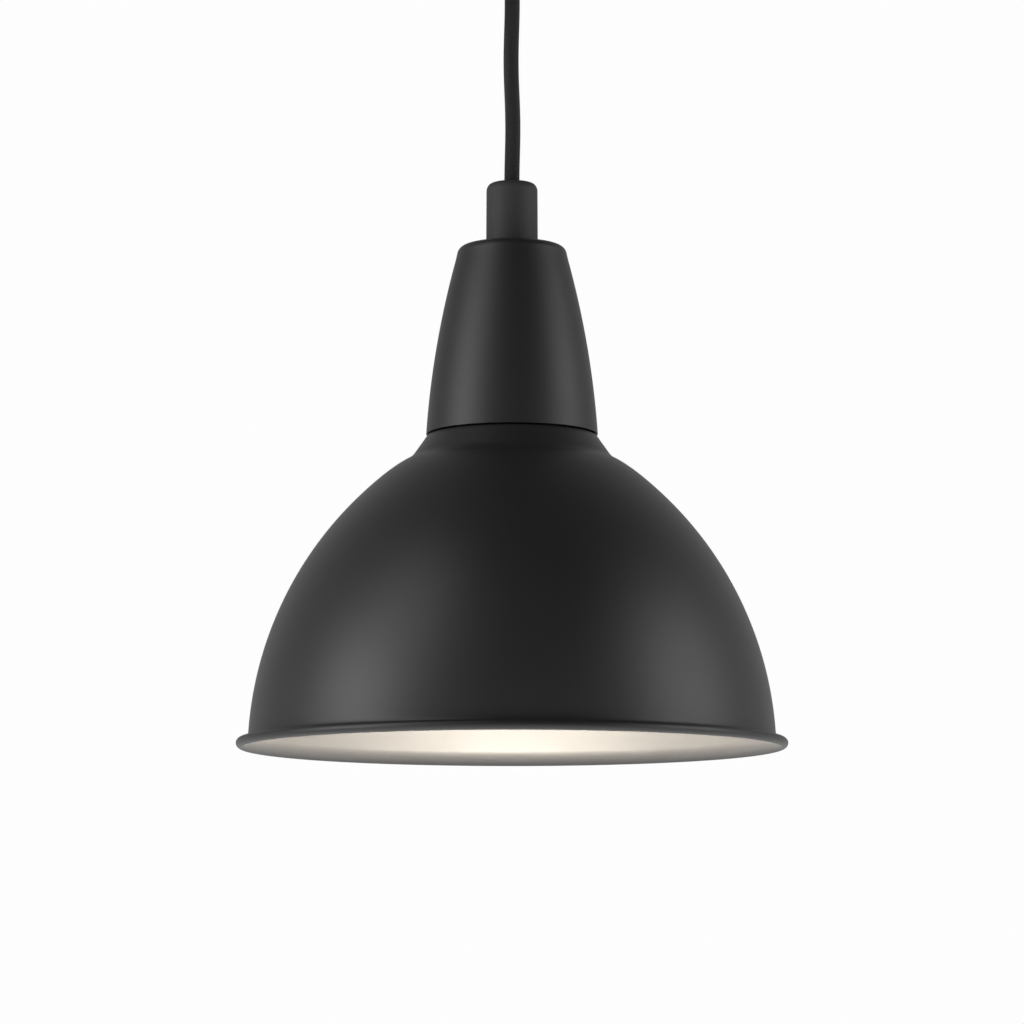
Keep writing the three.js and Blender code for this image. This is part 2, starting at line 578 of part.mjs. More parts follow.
// ---- Ceiling bracket ----------------------------------------------------------------------------
function makeBracket() {
  const { halfLength, width, plate, earDrop, slotRadius, slotHalfLength, slotHalfWidth } = bracketSize;
  const half = width / 2;
  const top = ceilingToRim;
  const strip = block([-halfLength, -half, top - plate], [halfLength, half, top]);
  const ears = [-1, 1].map((side) => {
    const [near, far] = [side * (halfLength - plate), side * halfLength];
    return block([Math.min(near, far), -half, top - earDrop], [Math.max(near, far), half, top - plate / 2]);
  });
  const earSlots = [-1, 1].map((side) => {
    const centre = side * halfLength;
    const [low, high] = [top - earDrop - overcut, sideScrew.height + slotHalfWidth];
    return block(
      [centre - slotHalfLength, -slotHalfWidth, low], [centre + slotHalfLength, slotHalfWidth, high]);
  });
  const screwSlots = [-1, 1].map((side) => {
    const centre = side * slotRadius;
    return block(
      [centre - slotHalfLength, -slotHalfWidth, top - plate - overcut],
      [centre + slotHalfLength, slotHalfWidth, top + overcut]);
  });
  const { x, radius, cableRadius, grommetRadius, grommetLip, play } = entryHole;
  const entry = bar([x, 0, top - plate - overcut], [x, 0, top + overcut], radius, smallRound);
  place('bracket', cut(join(strip, ...ears), ...earSlots, ...screwSlots, entry), zinc);
  const underside = top - plate;
  const neckRadius = radius - play;
  const grommet = revolve([
    [cableRadius, underside - grommetLip], [grommetRadius, underside - grommetLip],
    [grommetRadius, underside - gap], [neckRadius, underside - gap], [neckRadius, top - 0.1],
    [cableRadius, top - 0.1],
  ], smallRound);
  place('bracket_grommet', grommet.translate(x, 0, 0), rubber);
}

makeBracket();
makeCanopyCup();
makeGland();
makeCanopyFixings();
makeTerminals();
makeCord();
makeCordGrip();
makeCentreTube();
makeCap();
makeHolderShells();
makeHolderCore();
makeContacts();
makeHolderWiring();
makeShade();
makeShadeFixing();
makeBulbBase();
makeBulbGlass();
makeFilaments();

export default model;
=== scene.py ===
"""The looks of a small black dome pendant light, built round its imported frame.

Sizes are millimetres in the dataclasses and metres in the meshes. Heights run up from the plane
through the middle of the rim bead, whose place the frame gives.
"""

from __future__ import annotations

import logging
import math
from dataclasses import dataclass
from enum import Enum
from typing import Callable, Iterable, Sequence

import bmesh
import bpy
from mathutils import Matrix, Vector

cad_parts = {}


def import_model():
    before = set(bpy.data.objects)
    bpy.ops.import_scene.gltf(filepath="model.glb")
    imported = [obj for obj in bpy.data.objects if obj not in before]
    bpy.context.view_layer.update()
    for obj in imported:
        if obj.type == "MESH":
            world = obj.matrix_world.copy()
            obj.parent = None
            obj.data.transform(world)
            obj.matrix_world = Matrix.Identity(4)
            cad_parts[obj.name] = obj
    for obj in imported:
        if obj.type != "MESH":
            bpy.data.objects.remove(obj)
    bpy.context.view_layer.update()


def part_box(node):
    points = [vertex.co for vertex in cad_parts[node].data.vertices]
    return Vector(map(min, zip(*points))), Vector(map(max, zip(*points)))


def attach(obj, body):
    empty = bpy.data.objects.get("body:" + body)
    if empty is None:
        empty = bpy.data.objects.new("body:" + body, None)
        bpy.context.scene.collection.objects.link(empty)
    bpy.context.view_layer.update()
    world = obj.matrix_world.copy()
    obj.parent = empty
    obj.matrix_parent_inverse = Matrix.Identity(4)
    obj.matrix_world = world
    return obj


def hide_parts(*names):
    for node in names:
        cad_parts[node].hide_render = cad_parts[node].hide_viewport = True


MM = 0.001
TURN = 2 * math.pi
Point = tuple[float, float]
Spot = tuple[float, float, float]
Colour = tuple[float, float, float]
Reshape = Callable[[float, float, float], Point]
log = logging.getLogger("pendant")


# ---- Outlines -----------------------------------------------------------------------------------
def arc(centre: Point, radii: Point, start: float, end: float, steps: int) -> list[Point]:
    """Points along an arc of an ellipse.

    Args:
        centre: The centre's radius and height.
        radii: The half width and half height.
        start: The first angle in degrees, from the outward direction.
        end: The last angle in degrees.
        steps: How many straight steps the arc takes.

    Returns:
        The points, ends included.
    """
    angles = (math.radians(start + (end - start) * i / steps) for i in range(steps + 1))
    return [(centre[0] + radii[0] * math.cos(a), centre[1] + radii[1] * math.sin(a)) for a in angles]


def bend(start: Point, pull: Point, end: Point, steps: int) -> list[Point]:
    """Points along a quadratic curve.

    Args:
        start: The first point.
        pull: The point that the curve leans towards.
        end: The last point.
        steps: How many straight steps the curve takes.

    Returns:
        The points, ends included.
    """
    made = []
    for i in range(steps + 1):
        t = i / steps
        corners = zip(start, pull, end)
        made.append(tuple((1 - t) ** 2 * a + 2 * t * (1 - t) * b + t * t * c for a, b, c in corners))
    return made


def sweep(start: Point, pull: Point, push: Point, end: Point, steps: int) -> list[Point]:
    """Points along a cubic curve.

    Args:
        start: The first point.
        pull: The point that sets the way out of the start.
        push: The point that sets the way into the end.
        end: The last point.
        steps: How many straight steps the curve takes.

    Returns:
        The points, ends included.
    """
    made = []
    for i in range(steps + 1):
        t = i / steps
        weights = ((1 - t) ** 3, 3 * t * (1 - t) ** 2, 3 * t * t * (1 - t), t**3)
        made.append(tuple(sum(w * p[k] for w, p in zip(weights, (start, pull, push, end))) for k in (0, 1)))
    return made


def inset(path: Sequence[Point], distance: float) -> list[Point]:
    """The same path moved sideways, to the right of its direction.

    Args:
        path: The points of an open path.
        distance: How far to move it.

    Returns:
        As many points as the path has.
    """
    moved = []
    for i, (radius, height) in enumerate(path):
        before, after = path[max(i - 1, 0)], path[min(i + 1, len(path) - 1)]
        run, rise = after[0] - before[0], after[1] - before[1]
        length = math.hypot(run, rise)
        moved.append((radius + rise / length * distance, height - run / length * distance))
    return moved


def eased(outline: Sequence[Point], reach: float, steps: int = 3, sharpest: float = 25.0) -> list[Point]:
    """Breaks the sharp corners of an outline with small round edges.

    Args:
        outline: The points of a closed outline, or of one whose two ends lie on the axis.
        reach: How far from the corner a round edge starts.
        steps: How many straight steps a round edge takes.
        sharpest: The turn in degrees up to which a corner is left as it is.

    Returns:
        The outline with its corners rounded.
    """
    made: list[Point] = []
    count = len(outline)
    for i, here in enumerate(outline):
        before, after = outline[i - 1], outline[(i + 1) % count]
        into = Vector((here[0] - before[0], here[1] - before[1]))
        out = Vector((after[0] - here[0], after[1] - here[1]))
        if here[0] < 1e-6 or min(into.length, out.length) < 1e-6 or into.angle(out) < math.radians(sharpest):
            made.append(here)
            continue
        near = min(reach, 0.45 * into.length, 0.45 * out.length)
        start = Vector(here) - into.normalized() * near
        end = Vector(here) + out.normalized() * near
        made.extend(bend(tuple(start), here, tuple(end), steps))
    return made


def stepped(outline: Sequence[Point], longest: float, closed: bool = True) -> list[Point]:
    """Splits the long steps of an outline, so that a reshaped wall has points to move.

    Args:
        outline: The points of the outline.
        longest: The longest step to keep.
        closed: Whether the last point joins the first.

    Returns:
        The outline with points added on its straight stretches.
    """
    made: list[Point] = []
    last = len(outline) if closed else len(outline) - 1
    for i in range(last):
        here, after = outline[i], outline[(i + 1) % len(outline)]
        parts = max(1, math.ceil(math.dist(here, after) / longest))
        made.extend(tuple(a + (b - a) * k / parts for a, b in zip(here, after)) for k in range(parts))
    return made if closed else [*made, outline[-1]]


def collar(inner: float, outer: float, low: float, high: float) -> list[Point]:
    """The outline of a plain ring between two radii and two heights."""
    return [(inner, low), (outer, low), (outer, high), (inner, high)]


@dataclass(frozen=True)
class Thread:
    """A right-handed screw thread on a shaft, or rolled into a whole sheet wall.

    A positive depth cuts inwards from the radius, and a negative one swells outwards.
    """

    radius: float
    pitch: float
    depth: float
    low: float
    high: float
    wall: float = 0.0

    def __call__(self, angle: float, radius: float, height: float) -> Point:
        """Moves one point of the wall.

        Args:
            angle: The point's angle round the axis.
            radius: Its radius.
            height: Its height.

        Returns:
            Its new radius and height.
        """
        on_wall = self.radius - self.wall - 0.02 <= radius <= self.radius + 0.02
        if not on_wall or not self.low < height < self.high:
            return radius, height
        fade = min(1.0, (height - self.low) / self.pitch, (self.high - height) / self.pitch)
        wave = 0.5 - 0.5 * math.cos(TURN * height / self.pitch - angle)
        return radius - self.depth * wave * fade, height


@dataclass(frozen=True)
class Ribs:
    """Even ribs down one outer wall of a turned piece."""

    radius: float
    count: int
    depth: float

    def __call__(self, angle: float, radius: float, height: float) -> Point:
        """Moves one point of the wall inwards between two ribs.

        Args:
            angle: Where it is round the axis.
            radius: Its distance from the axis.
            height: Its height.

        Returns:
            The new radius and height.
        """
        reach, sharpness = 0.9, 1.6
        if radius < self.radius - reach:
            return radius, height
        share = min(1.0, (radius - self.radius + reach) / reach)
        wave = (0.5 - 0.5 * math.cos(self.count * angle)) ** sharpness
        return radius - self.depth * share * wave, height


@dataclass(frozen=True)
class Hexagon:
    """Six flats with a turned chamfer at both ends, as on a nut."""

    across: float
    hole: float
    low: float
    high: float
    chamfer: float

    def outline(self) -> list[Point]:
        """The closed outline that the flats are cut from.

        Returns:
            Its points, with steps at the ends of the wall for the chamfer.
        """
        corner, face = 0.5 * self.across / math.cos(math.pi / 6), 0.465 * self.across
        rises = (0.02, 0.12, 0.24, 0.4, 0.6)
        wall = [(corner, self.low + rise) for rise in rises]
        wall += [(corner, self.high - rise) for rise in rises[::-1]]
        lead = 0.3
        return [(self.hole, self.low + lead), (self.hole + lead, self.low), (face, self.low), *wall,
                (face, self.high), (self.hole + lead, self.high), (self.hole, self.high - lead)]

    def __call__(self, angle: float, radius: float, height: float) -> Point:
        """Moves one point of the outer wall onto the flats.

        Args:
            angle: Where it is round the axis.
            radius: Its distance from the axis.
            height: Its height.

        Returns:
            The new radius and height.
        """
        if radius < 0.5 * self.across:
            return radius, height
        corner = 0.5 * self.across / math.cos(math.pi / 6)
        flat = 0.5 * self.across / math.cos(angle % (math.pi / 3) - math.pi / 6)
        end = min(height - self.low, self.high - height)
        return min(flat, corner - max(0.0, self.chamfer - 1.7 * end)), height


# ---- Shader graphs ------------------------------------------------------------------------------
class Graph:
    """The nodes of one material."""

    def __init__(self, material: bpy.types.Material) -> None:
        """Empties the material's node tree and keeps it."""
        self.tree = material.node_tree
        self.tree.nodes.clear()

    def add(self, kind: str, settings: dict | None = None, inputs: dict | None = None) -> bpy.types.Node:
        """Adds one node.

        Args:
            kind: The node's Blender type.
            settings: Its settings; "stops" holds a ramp's places and colours.
            inputs: A number, colour, socket or Value for each named or numbered input.

        Returns:
            The new node.
        """
        node = self.tree.nodes.new(kind)
        for name, value in (settings or {}).items():
            if name == "stops":
                self._set_stops(node.color_ramp.elements, value)
            else:
                setattr(node, name, value)
        for name, value in (inputs or {}).items():
            socket = node.inputs[name]
            if isinstance(value, Value):
                self.tree.links.new(value.socket, socket)
            elif isinstance(value, bpy.types.NodeSocket):
                self.tree.links.new(value, socket)
            else:
                socket.default_value = value
        return node

    @staticmethod
    def _set_stops(elements: bpy.types.ColorRampElements, stops: Sequence[tuple[float, Colour]]) -> None:
        """Gives a ramp its places and colours.

        Args:
            elements: The ramp's stops.
            stops: The place and colour of each stop.
        """
        while len(elements) < len(stops):
            elements.new(1.0)
        for element, (place, colour) in zip(elements, stops):
            element.position = place
            element.color = (*colour, 1.0)

    def place(self) -> bpy.types.NodeSocket:
        """The point in the piece's own space, in metres."""
        return self.add("ShaderNodeTexCoord").outputs["Object"]

    def axes(self) -> tuple[Value, Value, Value]:
        """The three coordinates of the point, as numbers."""
        split = self.add("ShaderNodeSeparateXYZ", inputs={0: self.place()})
        return tuple(Value(self, split.outputs[k]) for k in range(3))

    def vector(self, x: Value | float, y: Value | float, z: Value | float) -> bpy.types.NodeSocket:
        """Three numbers put together as a vector."""
        return self.add("ShaderNodeCombineXYZ", inputs={0: x, 1: y, 2: z}).outputs[0]

    def noise(self, scale: float, detail: float = 2.0, at: bpy.types.NodeSocket | None = None) -> Value:
        """Cloudy noise between 0 and 1.

        Args:
            scale: Features for each metre.
            detail: How many finer layers are added.
            at: Where it is read, or the piece's own space.

        Returns:
            The noise as a number.
        """
        where = self.place() if at is None else at
        node = self.add("ShaderNodeTexNoise", inputs={"Vector": where, "Scale": scale, "Detail": detail})
        return Value(self, node.outputs["Fac"])

    def cells(self, scale: float) -> Value:
        """The distance to the nearest of many scattered points."""
        node = self.add("ShaderNodeTexVoronoi", inputs={"Vector": self.place(), "Scale": scale})
        return Value(self, node.outputs["Distance"])

    def blend(self, share: Value, first: Colour, second: Colour) -> bpy.types.NodeSocket:
        """Two colours mixed.

        Args:
            share: How much of the second colour shows.
            first: The first colour.
            second: The second colour.

        Returns:
            The mixed colour.
        """
        settings = {"data_type": "RGBA", "clamp_factor": True}
        node = self.add("ShaderNodeMix", settings, {0: share, 6: (*first, 1.0), 7: (*second, 1.0)})
        return node.outputs[2]

    def bump(self, height: Value, depth: float, strength: float = 1.0) -> bpy.types.NodeSocket:
        """A bumped normal from a height between 0 and 1 and a depth in millimetres."""
        inputs = {"Strength": strength, "Distance": depth * MM, "Height": height}
        return self.add("ShaderNodeBump", inputs=inputs).outputs["Normal"]

    def surface(self, **inputs: object) -> None:
        """Ends the material in one principled surface.

        Args:
            inputs: A value for each named input, with underscores for spaces.
        """
        named = {name.replace("_", " "): value for name, value in inputs.items()}
        shader = self.add("ShaderNodeBsdfPrincipled", inputs=named)
        self.add("ShaderNodeOutputMaterial", inputs={"Surface": shader.outputs[0]})


class Value:
    """A number that varies over a surface, written in ordinary arithmetic."""

    def __init__(self, graph: Graph, socket: bpy.types.NodeSocket) -> None:
        """Keeps the socket and the graph that it is in."""
        self.graph = graph
        self.socket = socket

    def math(self, operation: str, *others: Value | float, first: float | None = None) -> Value:
        """One Math node on this number.

        Args:
            operation: The node's operation.
            others: The numbers after this one.
            first: A number that takes the first place, so that this one is second.

        Returns:
            The result.
        """
        terms = [self, *others] if first is None else [first, self]
        node = self.graph.add("ShaderNodeMath", {"operation": operation}, dict(enumerate(terms)))
        return Value(self.graph, node.outputs[0])

    def __add__(self, other: Value | float) -> Value:
        """This number plus another."""
        return self.math("ADD", other)

    def __radd__(self, other: float) -> Value:
        """A plain number plus this one."""
        return self.math("ADD", other)

    def __sub__(self, other: Value | float) -> Value:
        """This number less another."""
        return self.math("SUBTRACT", other)

    def __rsub__(self, other: float) -> Value:
        """A plain number less this one."""
        return self.math("SUBTRACT", first=other)

    def __mul__(self, other: Value | float) -> Value:
        """This number times another."""
        return self.math("MULTIPLY", other)

    def __rmul__(self, other: float) -> Value:
        """A plain number times this one."""
        return self.math("MULTIPLY", other)

    def __truediv__(self, other: Value | float) -> Value:
        """This number over another."""
        return self.math("DIVIDE", other)

    def sine(self) -> Value:
        """The sine of this number."""
        return self.math("SINE")

    def root(self) -> Value:
        """The square root of this number."""
        return self.math("SQRT")

    def between(self, low: float, high: float) -> Value:
        """A smooth step.

        Args:
            low: Where it starts to rise from 0.
            high: Where it reaches 1.

        Returns:
            The step.
        """
        settings = {"interpolation_type": "SMOOTHSTEP"}
        inputs = {"Value": self, "From Min": low, "From Max": high}
        node = self.graph.add("ShaderNodeMapRange", settings, inputs)
        return Value(self.graph, node.outputs["Result"])


# ---- Finishes -----------------------------------------------------------------------------------
@dataclass(frozen=True)
class Finish:
    """What every finish has: a name and a way to build its material once."""

    name: str

    def material(self) -> bpy.types.Material:
        """The finish's material, made the first time it is asked for.

        Returns:
            The material.
        """
        found = bpy.data.materials.get(self.name)
        if found is None:
            found = bpy.data.materials.new(self.name)
            found.use_nodes = True
            self.build(Graph(found))
        return found

    def build(self, graph: Graph) -> None:
        """Makes the finish's nodes."""
        raise NotImplementedError


@dataclass(frozen=True)
class PowderCoat(Finish):
    """Matte paint baked on metal, with a very fine orange peel."""

    colour: Colour = (0.0118, 0.0118, 0.0121)
    roughness: float = 0.47
    grain: float = 0.012

    def build(self, graph: Graph) -> None:
        """Fine grain in the normal, a cloudy change of gloss and a little dust.

        Args:
            graph: The material's graph.
        """
        grain = graph.noise(1500.0, 3.0)
        cloud = graph.noise(28.0, 3.0)
        dust = graph.noise(420.0, 2.0).between(0.70, 0.80)
        lighter = tuple(1.35 * c for c in self.colour)
        graph.surface(
            Base_Color=graph.blend(0.55 * cloud + 0.25 * grain + 0.35 * dust, self.colour, lighter),
            Roughness=self.roughness - 0.03 + 0.05 * cloud + 0.03 * grain,
            Normal=graph.bump(grain + 0.5 * graph.noise(4200.0, 1.0), self.grain),
        )


@dataclass(frozen=True)
class SpunLacquer(Finish):
    """Satin lacquer over spun metal, with faint rings left by the spinning tool."""

    colour: Colour = (0.70, 0.685, 0.655)
    roughness: float = 0.36

    def build(self, graph: Graph) -> None:
        """Rings round the axis in the normal and a cloudy tint.

        Args:
            graph: The material's graph.
        """
        x, y, z = graph.axes()
        radius = (x * x + y * y).root()
        rings = graph.noise(900.0, 2.0, graph.vector(radius, 0.0, 1.3 * z))
        cloud = graph.noise(40.0, 3.0)
        warmer = tuple(c * k for c, k in zip(self.colour, (0.97, 0.945, 0.90)))
        graph.surface(
            Base_Color=graph.blend(0.6 * cloud + 0.3 * rings, self.colour, warmer),
            Roughness=self.roughness - 0.03 + 0.07 * cloud,
            Normal=graph.bump(0.7 * rings + 0.5 * graph.noise(1100.0, 2.0), 0.012),
        )


@dataclass(frozen=True)
class MouldedPlastic(Finish):
    """Moulded plastic or rubber with the texture of its spark-eroded mould."""

    colour: Colour = (0.0075, 0.0075, 0.0078)
    roughness: float = 0.30
    texture: float = 0.0015

    def build(self, graph: Graph) -> None:
        """A cellular skin in the normal and a slight change of gloss.

        Args:
            graph: The material's graph.
        """
        skin = graph.cells(2600.0)
        cloud = graph.noise(60.0, 2.0)
        lighter = tuple(min(1.0, 1.25 * c + 0.002) for c in self.colour)
        graph.surface(
            Base_Color=graph.blend(0.6 * cloud + 0.3 * skin, self.colour, lighter),
            Roughness=self.roughness - 0.04 + 0.06 * cloud + 0.04 * skin,
            Normal=graph.bump(skin + 0.4 * graph.noise(900.0, 2.0), self.texture),
        )


@dataclass(frozen=True)
class Braid(Finish):
    """Black textile yarn in a braid that runs both ways round a cord."""

    # The darkest colour, which the gaps between the strands take as painted shade.
    colour: Colour = (0.0015, 0.0015, 0.0016)
    yarn: Colour = (0.03, 0.03, 0.031)
    strands: int = 12
    pitch: float = 1.24

    def build(self, graph: Graph) -> None:
        """Single fibres along each strand, with painted shade that darkens the gaps between the strands.

        Args:
            graph: The material's graph.
        """
        x, y, z = graph.axes()
        angle = y.math("ARCTAN2", x) * (self.strands / TURN)
        along = z / (self.pitch * MM)
        first, second = angle + along, angle - along
        over = (first.math("FLOOR") + second.math("FLOOR")).math("FLOORED_MODULO", 2.0)
        across = over * first + (1.0 - over) * second
        fibres = 0.5 + 0.5 * (across * (7 * TURN)).sine()
        fuzz = graph.noise(3800.0, 2.0)
        # Painted shade: this mask darkens the gaps between strands in the base colour, and it also makes them
        # rougher.
        gap = (across.math("FRACT") - 0.5).math("ABSOLUTE").between(0.28, 0.48)
        shade = 0.35 * fibres + 0.9 * fuzz - 1.1 * gap
        graph.surface(
            Base_Color=graph.blend(shade.math("MAXIMUM", 0.0), self.colour, self.yarn),
            Roughness=0.42 + 0.5 * gap + 0.06 * fuzz,
            Specular_IOR_Level=0.25,
            Normal=graph.bump(0.6 * fibres + 0.5 * fuzz, 0.03),
        )


@dataclass(frozen=True)
class PlatedMetal(Finish):
    """Bare or plated metal with fine drawn lines and slight tarnish."""

    colour: Colour
    tarnish: Colour
    roughness: float = 0.3
    lines: float = 0.004

    def build(self, graph: Graph) -> None:
        """Turned lines, a patchy gloss and a tint of tarnish.

        Args:
            graph: The material's graph.
        """
        x, y, z = graph.axes()
        radius = (x * x + y * y).root()
        lines = graph.noise(2600.0, 2.0, graph.vector(radius, 0.0, z))
        patch = graph.noise(130.0, 4.0)
        graph.surface(
            Base_Color=graph.blend(patch.between(0.35, 0.8), self.colour, self.tarnish),
            Metallic=1.0,
            Roughness=self.roughness - 0.06 + 0.14 * patch + 0.05 * lines,
            Normal=graph.bump(lines, self.lines),
        )


@dataclass(frozen=True)
class Steatite(Finish):
    """Unglazed white ceramic with fine pores."""

    colour: Colour = (0.80, 0.785, 0.74)

    def build(self, graph: Graph) -> None:
        """Pores in the normal and a few specks of iron.

        Args:
            graph: The material's graph.
        """
        pores = graph.noise(2200.0, 4.0)
        specks = graph.noise(900.0, 1.0).between(0.74, 0.8)
        graph.surface(
            Base_Color=graph.blend(0.7 * specks + 0.15 * pores, self.colour, (0.45, 0.40, 0.33)),
            Roughness=0.55 + 0.15 * pores,
            Normal=graph.bump(pores, 0.03),
        )


@dataclass(frozen=True)
class BlownGlass(Finish):
    """Clear glass with the faint waves of a blown lamp."""

    def build(self, graph: Graph) -> None:
        """A clear surface whose normal waves a little.

        Args:
            graph: The material's graph.
        """
        waves = graph.noise(55.0, 2.0)
        graph.surface(
            Base_Color=graph.blend(waves, (0.99, 0.99, 0.985), (0.96, 0.965, 0.96)),
            Roughness=0.01 + 0.02 * graph.noise(300.0, 2.0),
            IOR=1.5,
            Transmission_Weight=1.0,
            Normal=graph.bump(waves, 0.05),
        )


@dataclass(frozen=True)
class GlowingPhosphor(Finish):
    """The lit coating of a filament stick."""

    strength: float = 14.0

    def build(self, graph: Graph) -> None:
        """A warm glow with brighter dots where the chips sit.

        Args:
            graph: The material's graph.
        """
        x, y, z = graph.axes()
        chips = 0.5 + 0.5 * (z * (TURN / (1.3 * MM))).sine()
        glow = graph.blend(0.6 * chips + 0.3 * graph.noise(700.0, 2.0), (1.0, 0.48, 0.16), (1.0, 0.70, 0.36))
        graph.surface(
            Base_Color=graph.blend(chips, (0.9, 0.55, 0.12), (0.95, 0.7, 0.25)),
            Roughness=0.5 + 0.1 * chips,
            Emission_Color=glow,
            Emission_Strength=self.strength,
        )


@dataclass(frozen=True)
class PaleFloor(Finish):
    """A plain pale floor that gives back the light of the whole room."""

    glow: float = 0.75

    def build(self, graph: Graph) -> None:
        """Nearly even off-white with a faint cloud.

        Args:
            graph: The material's graph.
        """
        cloud = graph.noise(1.5, 3.0)
        graph.surface(
            Base_Color=graph.blend(cloud, (0.30, 0.30, 0.30), (0.28, 0.28, 0.28)),
            Roughness=0.7 + 0.1 * cloud,
            Emission_Color=(1.0, 1.0, 1.0, 1.0),
            Emission_Strength=self.glow,
        )


BLACK_PAINT = PowderCoat("black_paint")
# The cap takes a darker, less glossy copy of the black paint. The darker colour is painted shade that tones
# down the cap's highlight.
SHADED_CAP_PAINT = PowderCoat("black_paint_shaded_for_cap", colour=(0.0085, 0.0085, 0.0087), roughness=0.50)
LACQUER = SpunLacquer("white_lacquer")
BLACK_PLASTIC = MouldedPlastic("black_plastic")
RUBBER = MouldedPlastic("black_rubber", colour=(0.012, 0.012, 0.012), roughness=0.7, texture=0.02)
NYLON = MouldedPlastic("natural_nylon", colour=(0.74, 0.72, 0.66), roughness=0.42)
BLUE_PVC = MouldedPlastic("blue_insulation", colour=(0.02, 0.09, 0.34), roughness=0.33, texture=0.006)
BROWN_PVC = MouldedPlastic("brown_insulation", colour=(0.13, 0.045, 0.018), roughness=0.33, texture=0.006)
VITRITE = MouldedPlastic("black_vitrite", colour=(0.008, 0.008, 0.010), roughness=0.12, texture=0.004)
TEXTILE = Braid("textile_braid")
ZINC = PlatedMetal("zinc_plate", colour=(0.60, 0.61, 0.62), tarnish=(0.52, 0.50, 0.44), roughness=0.32)
BRASS = PlatedMetal("stamped_brass", colour=(0.78, 0.56, 0.24), tarnish=(0.58, 0.38, 0.15), roughness=0.26)
NICKEL = PlatedMetal("nickel_plate", colour=(0.70, 0.68, 0.64), tarnish=(0.58, 0.55, 0.49), roughness=0.2)
CERAMIC = Steatite("steatite")
GLASS = BlownGlass("clear_glass")
PHOSPHOR = GlowingPhosphor("lit_phosphor")
FLOOR = PaleFloor("pale_floor")


# ---- Making meshes ------------------------------------------------------------------------------
class Body(Enum):
    """The frame's bodies, by what they are."""

    CEILING = "ceiling"
    CANOPY = "canopy"
    CORD_FLEX = "cord_flex"
    PENDANT = "pendant"
    SHADE = "shade_carrier"
    RING = "retaining_ring"
    LAMP_TIP = "lamp_tip"
    LAMP = "lamp"


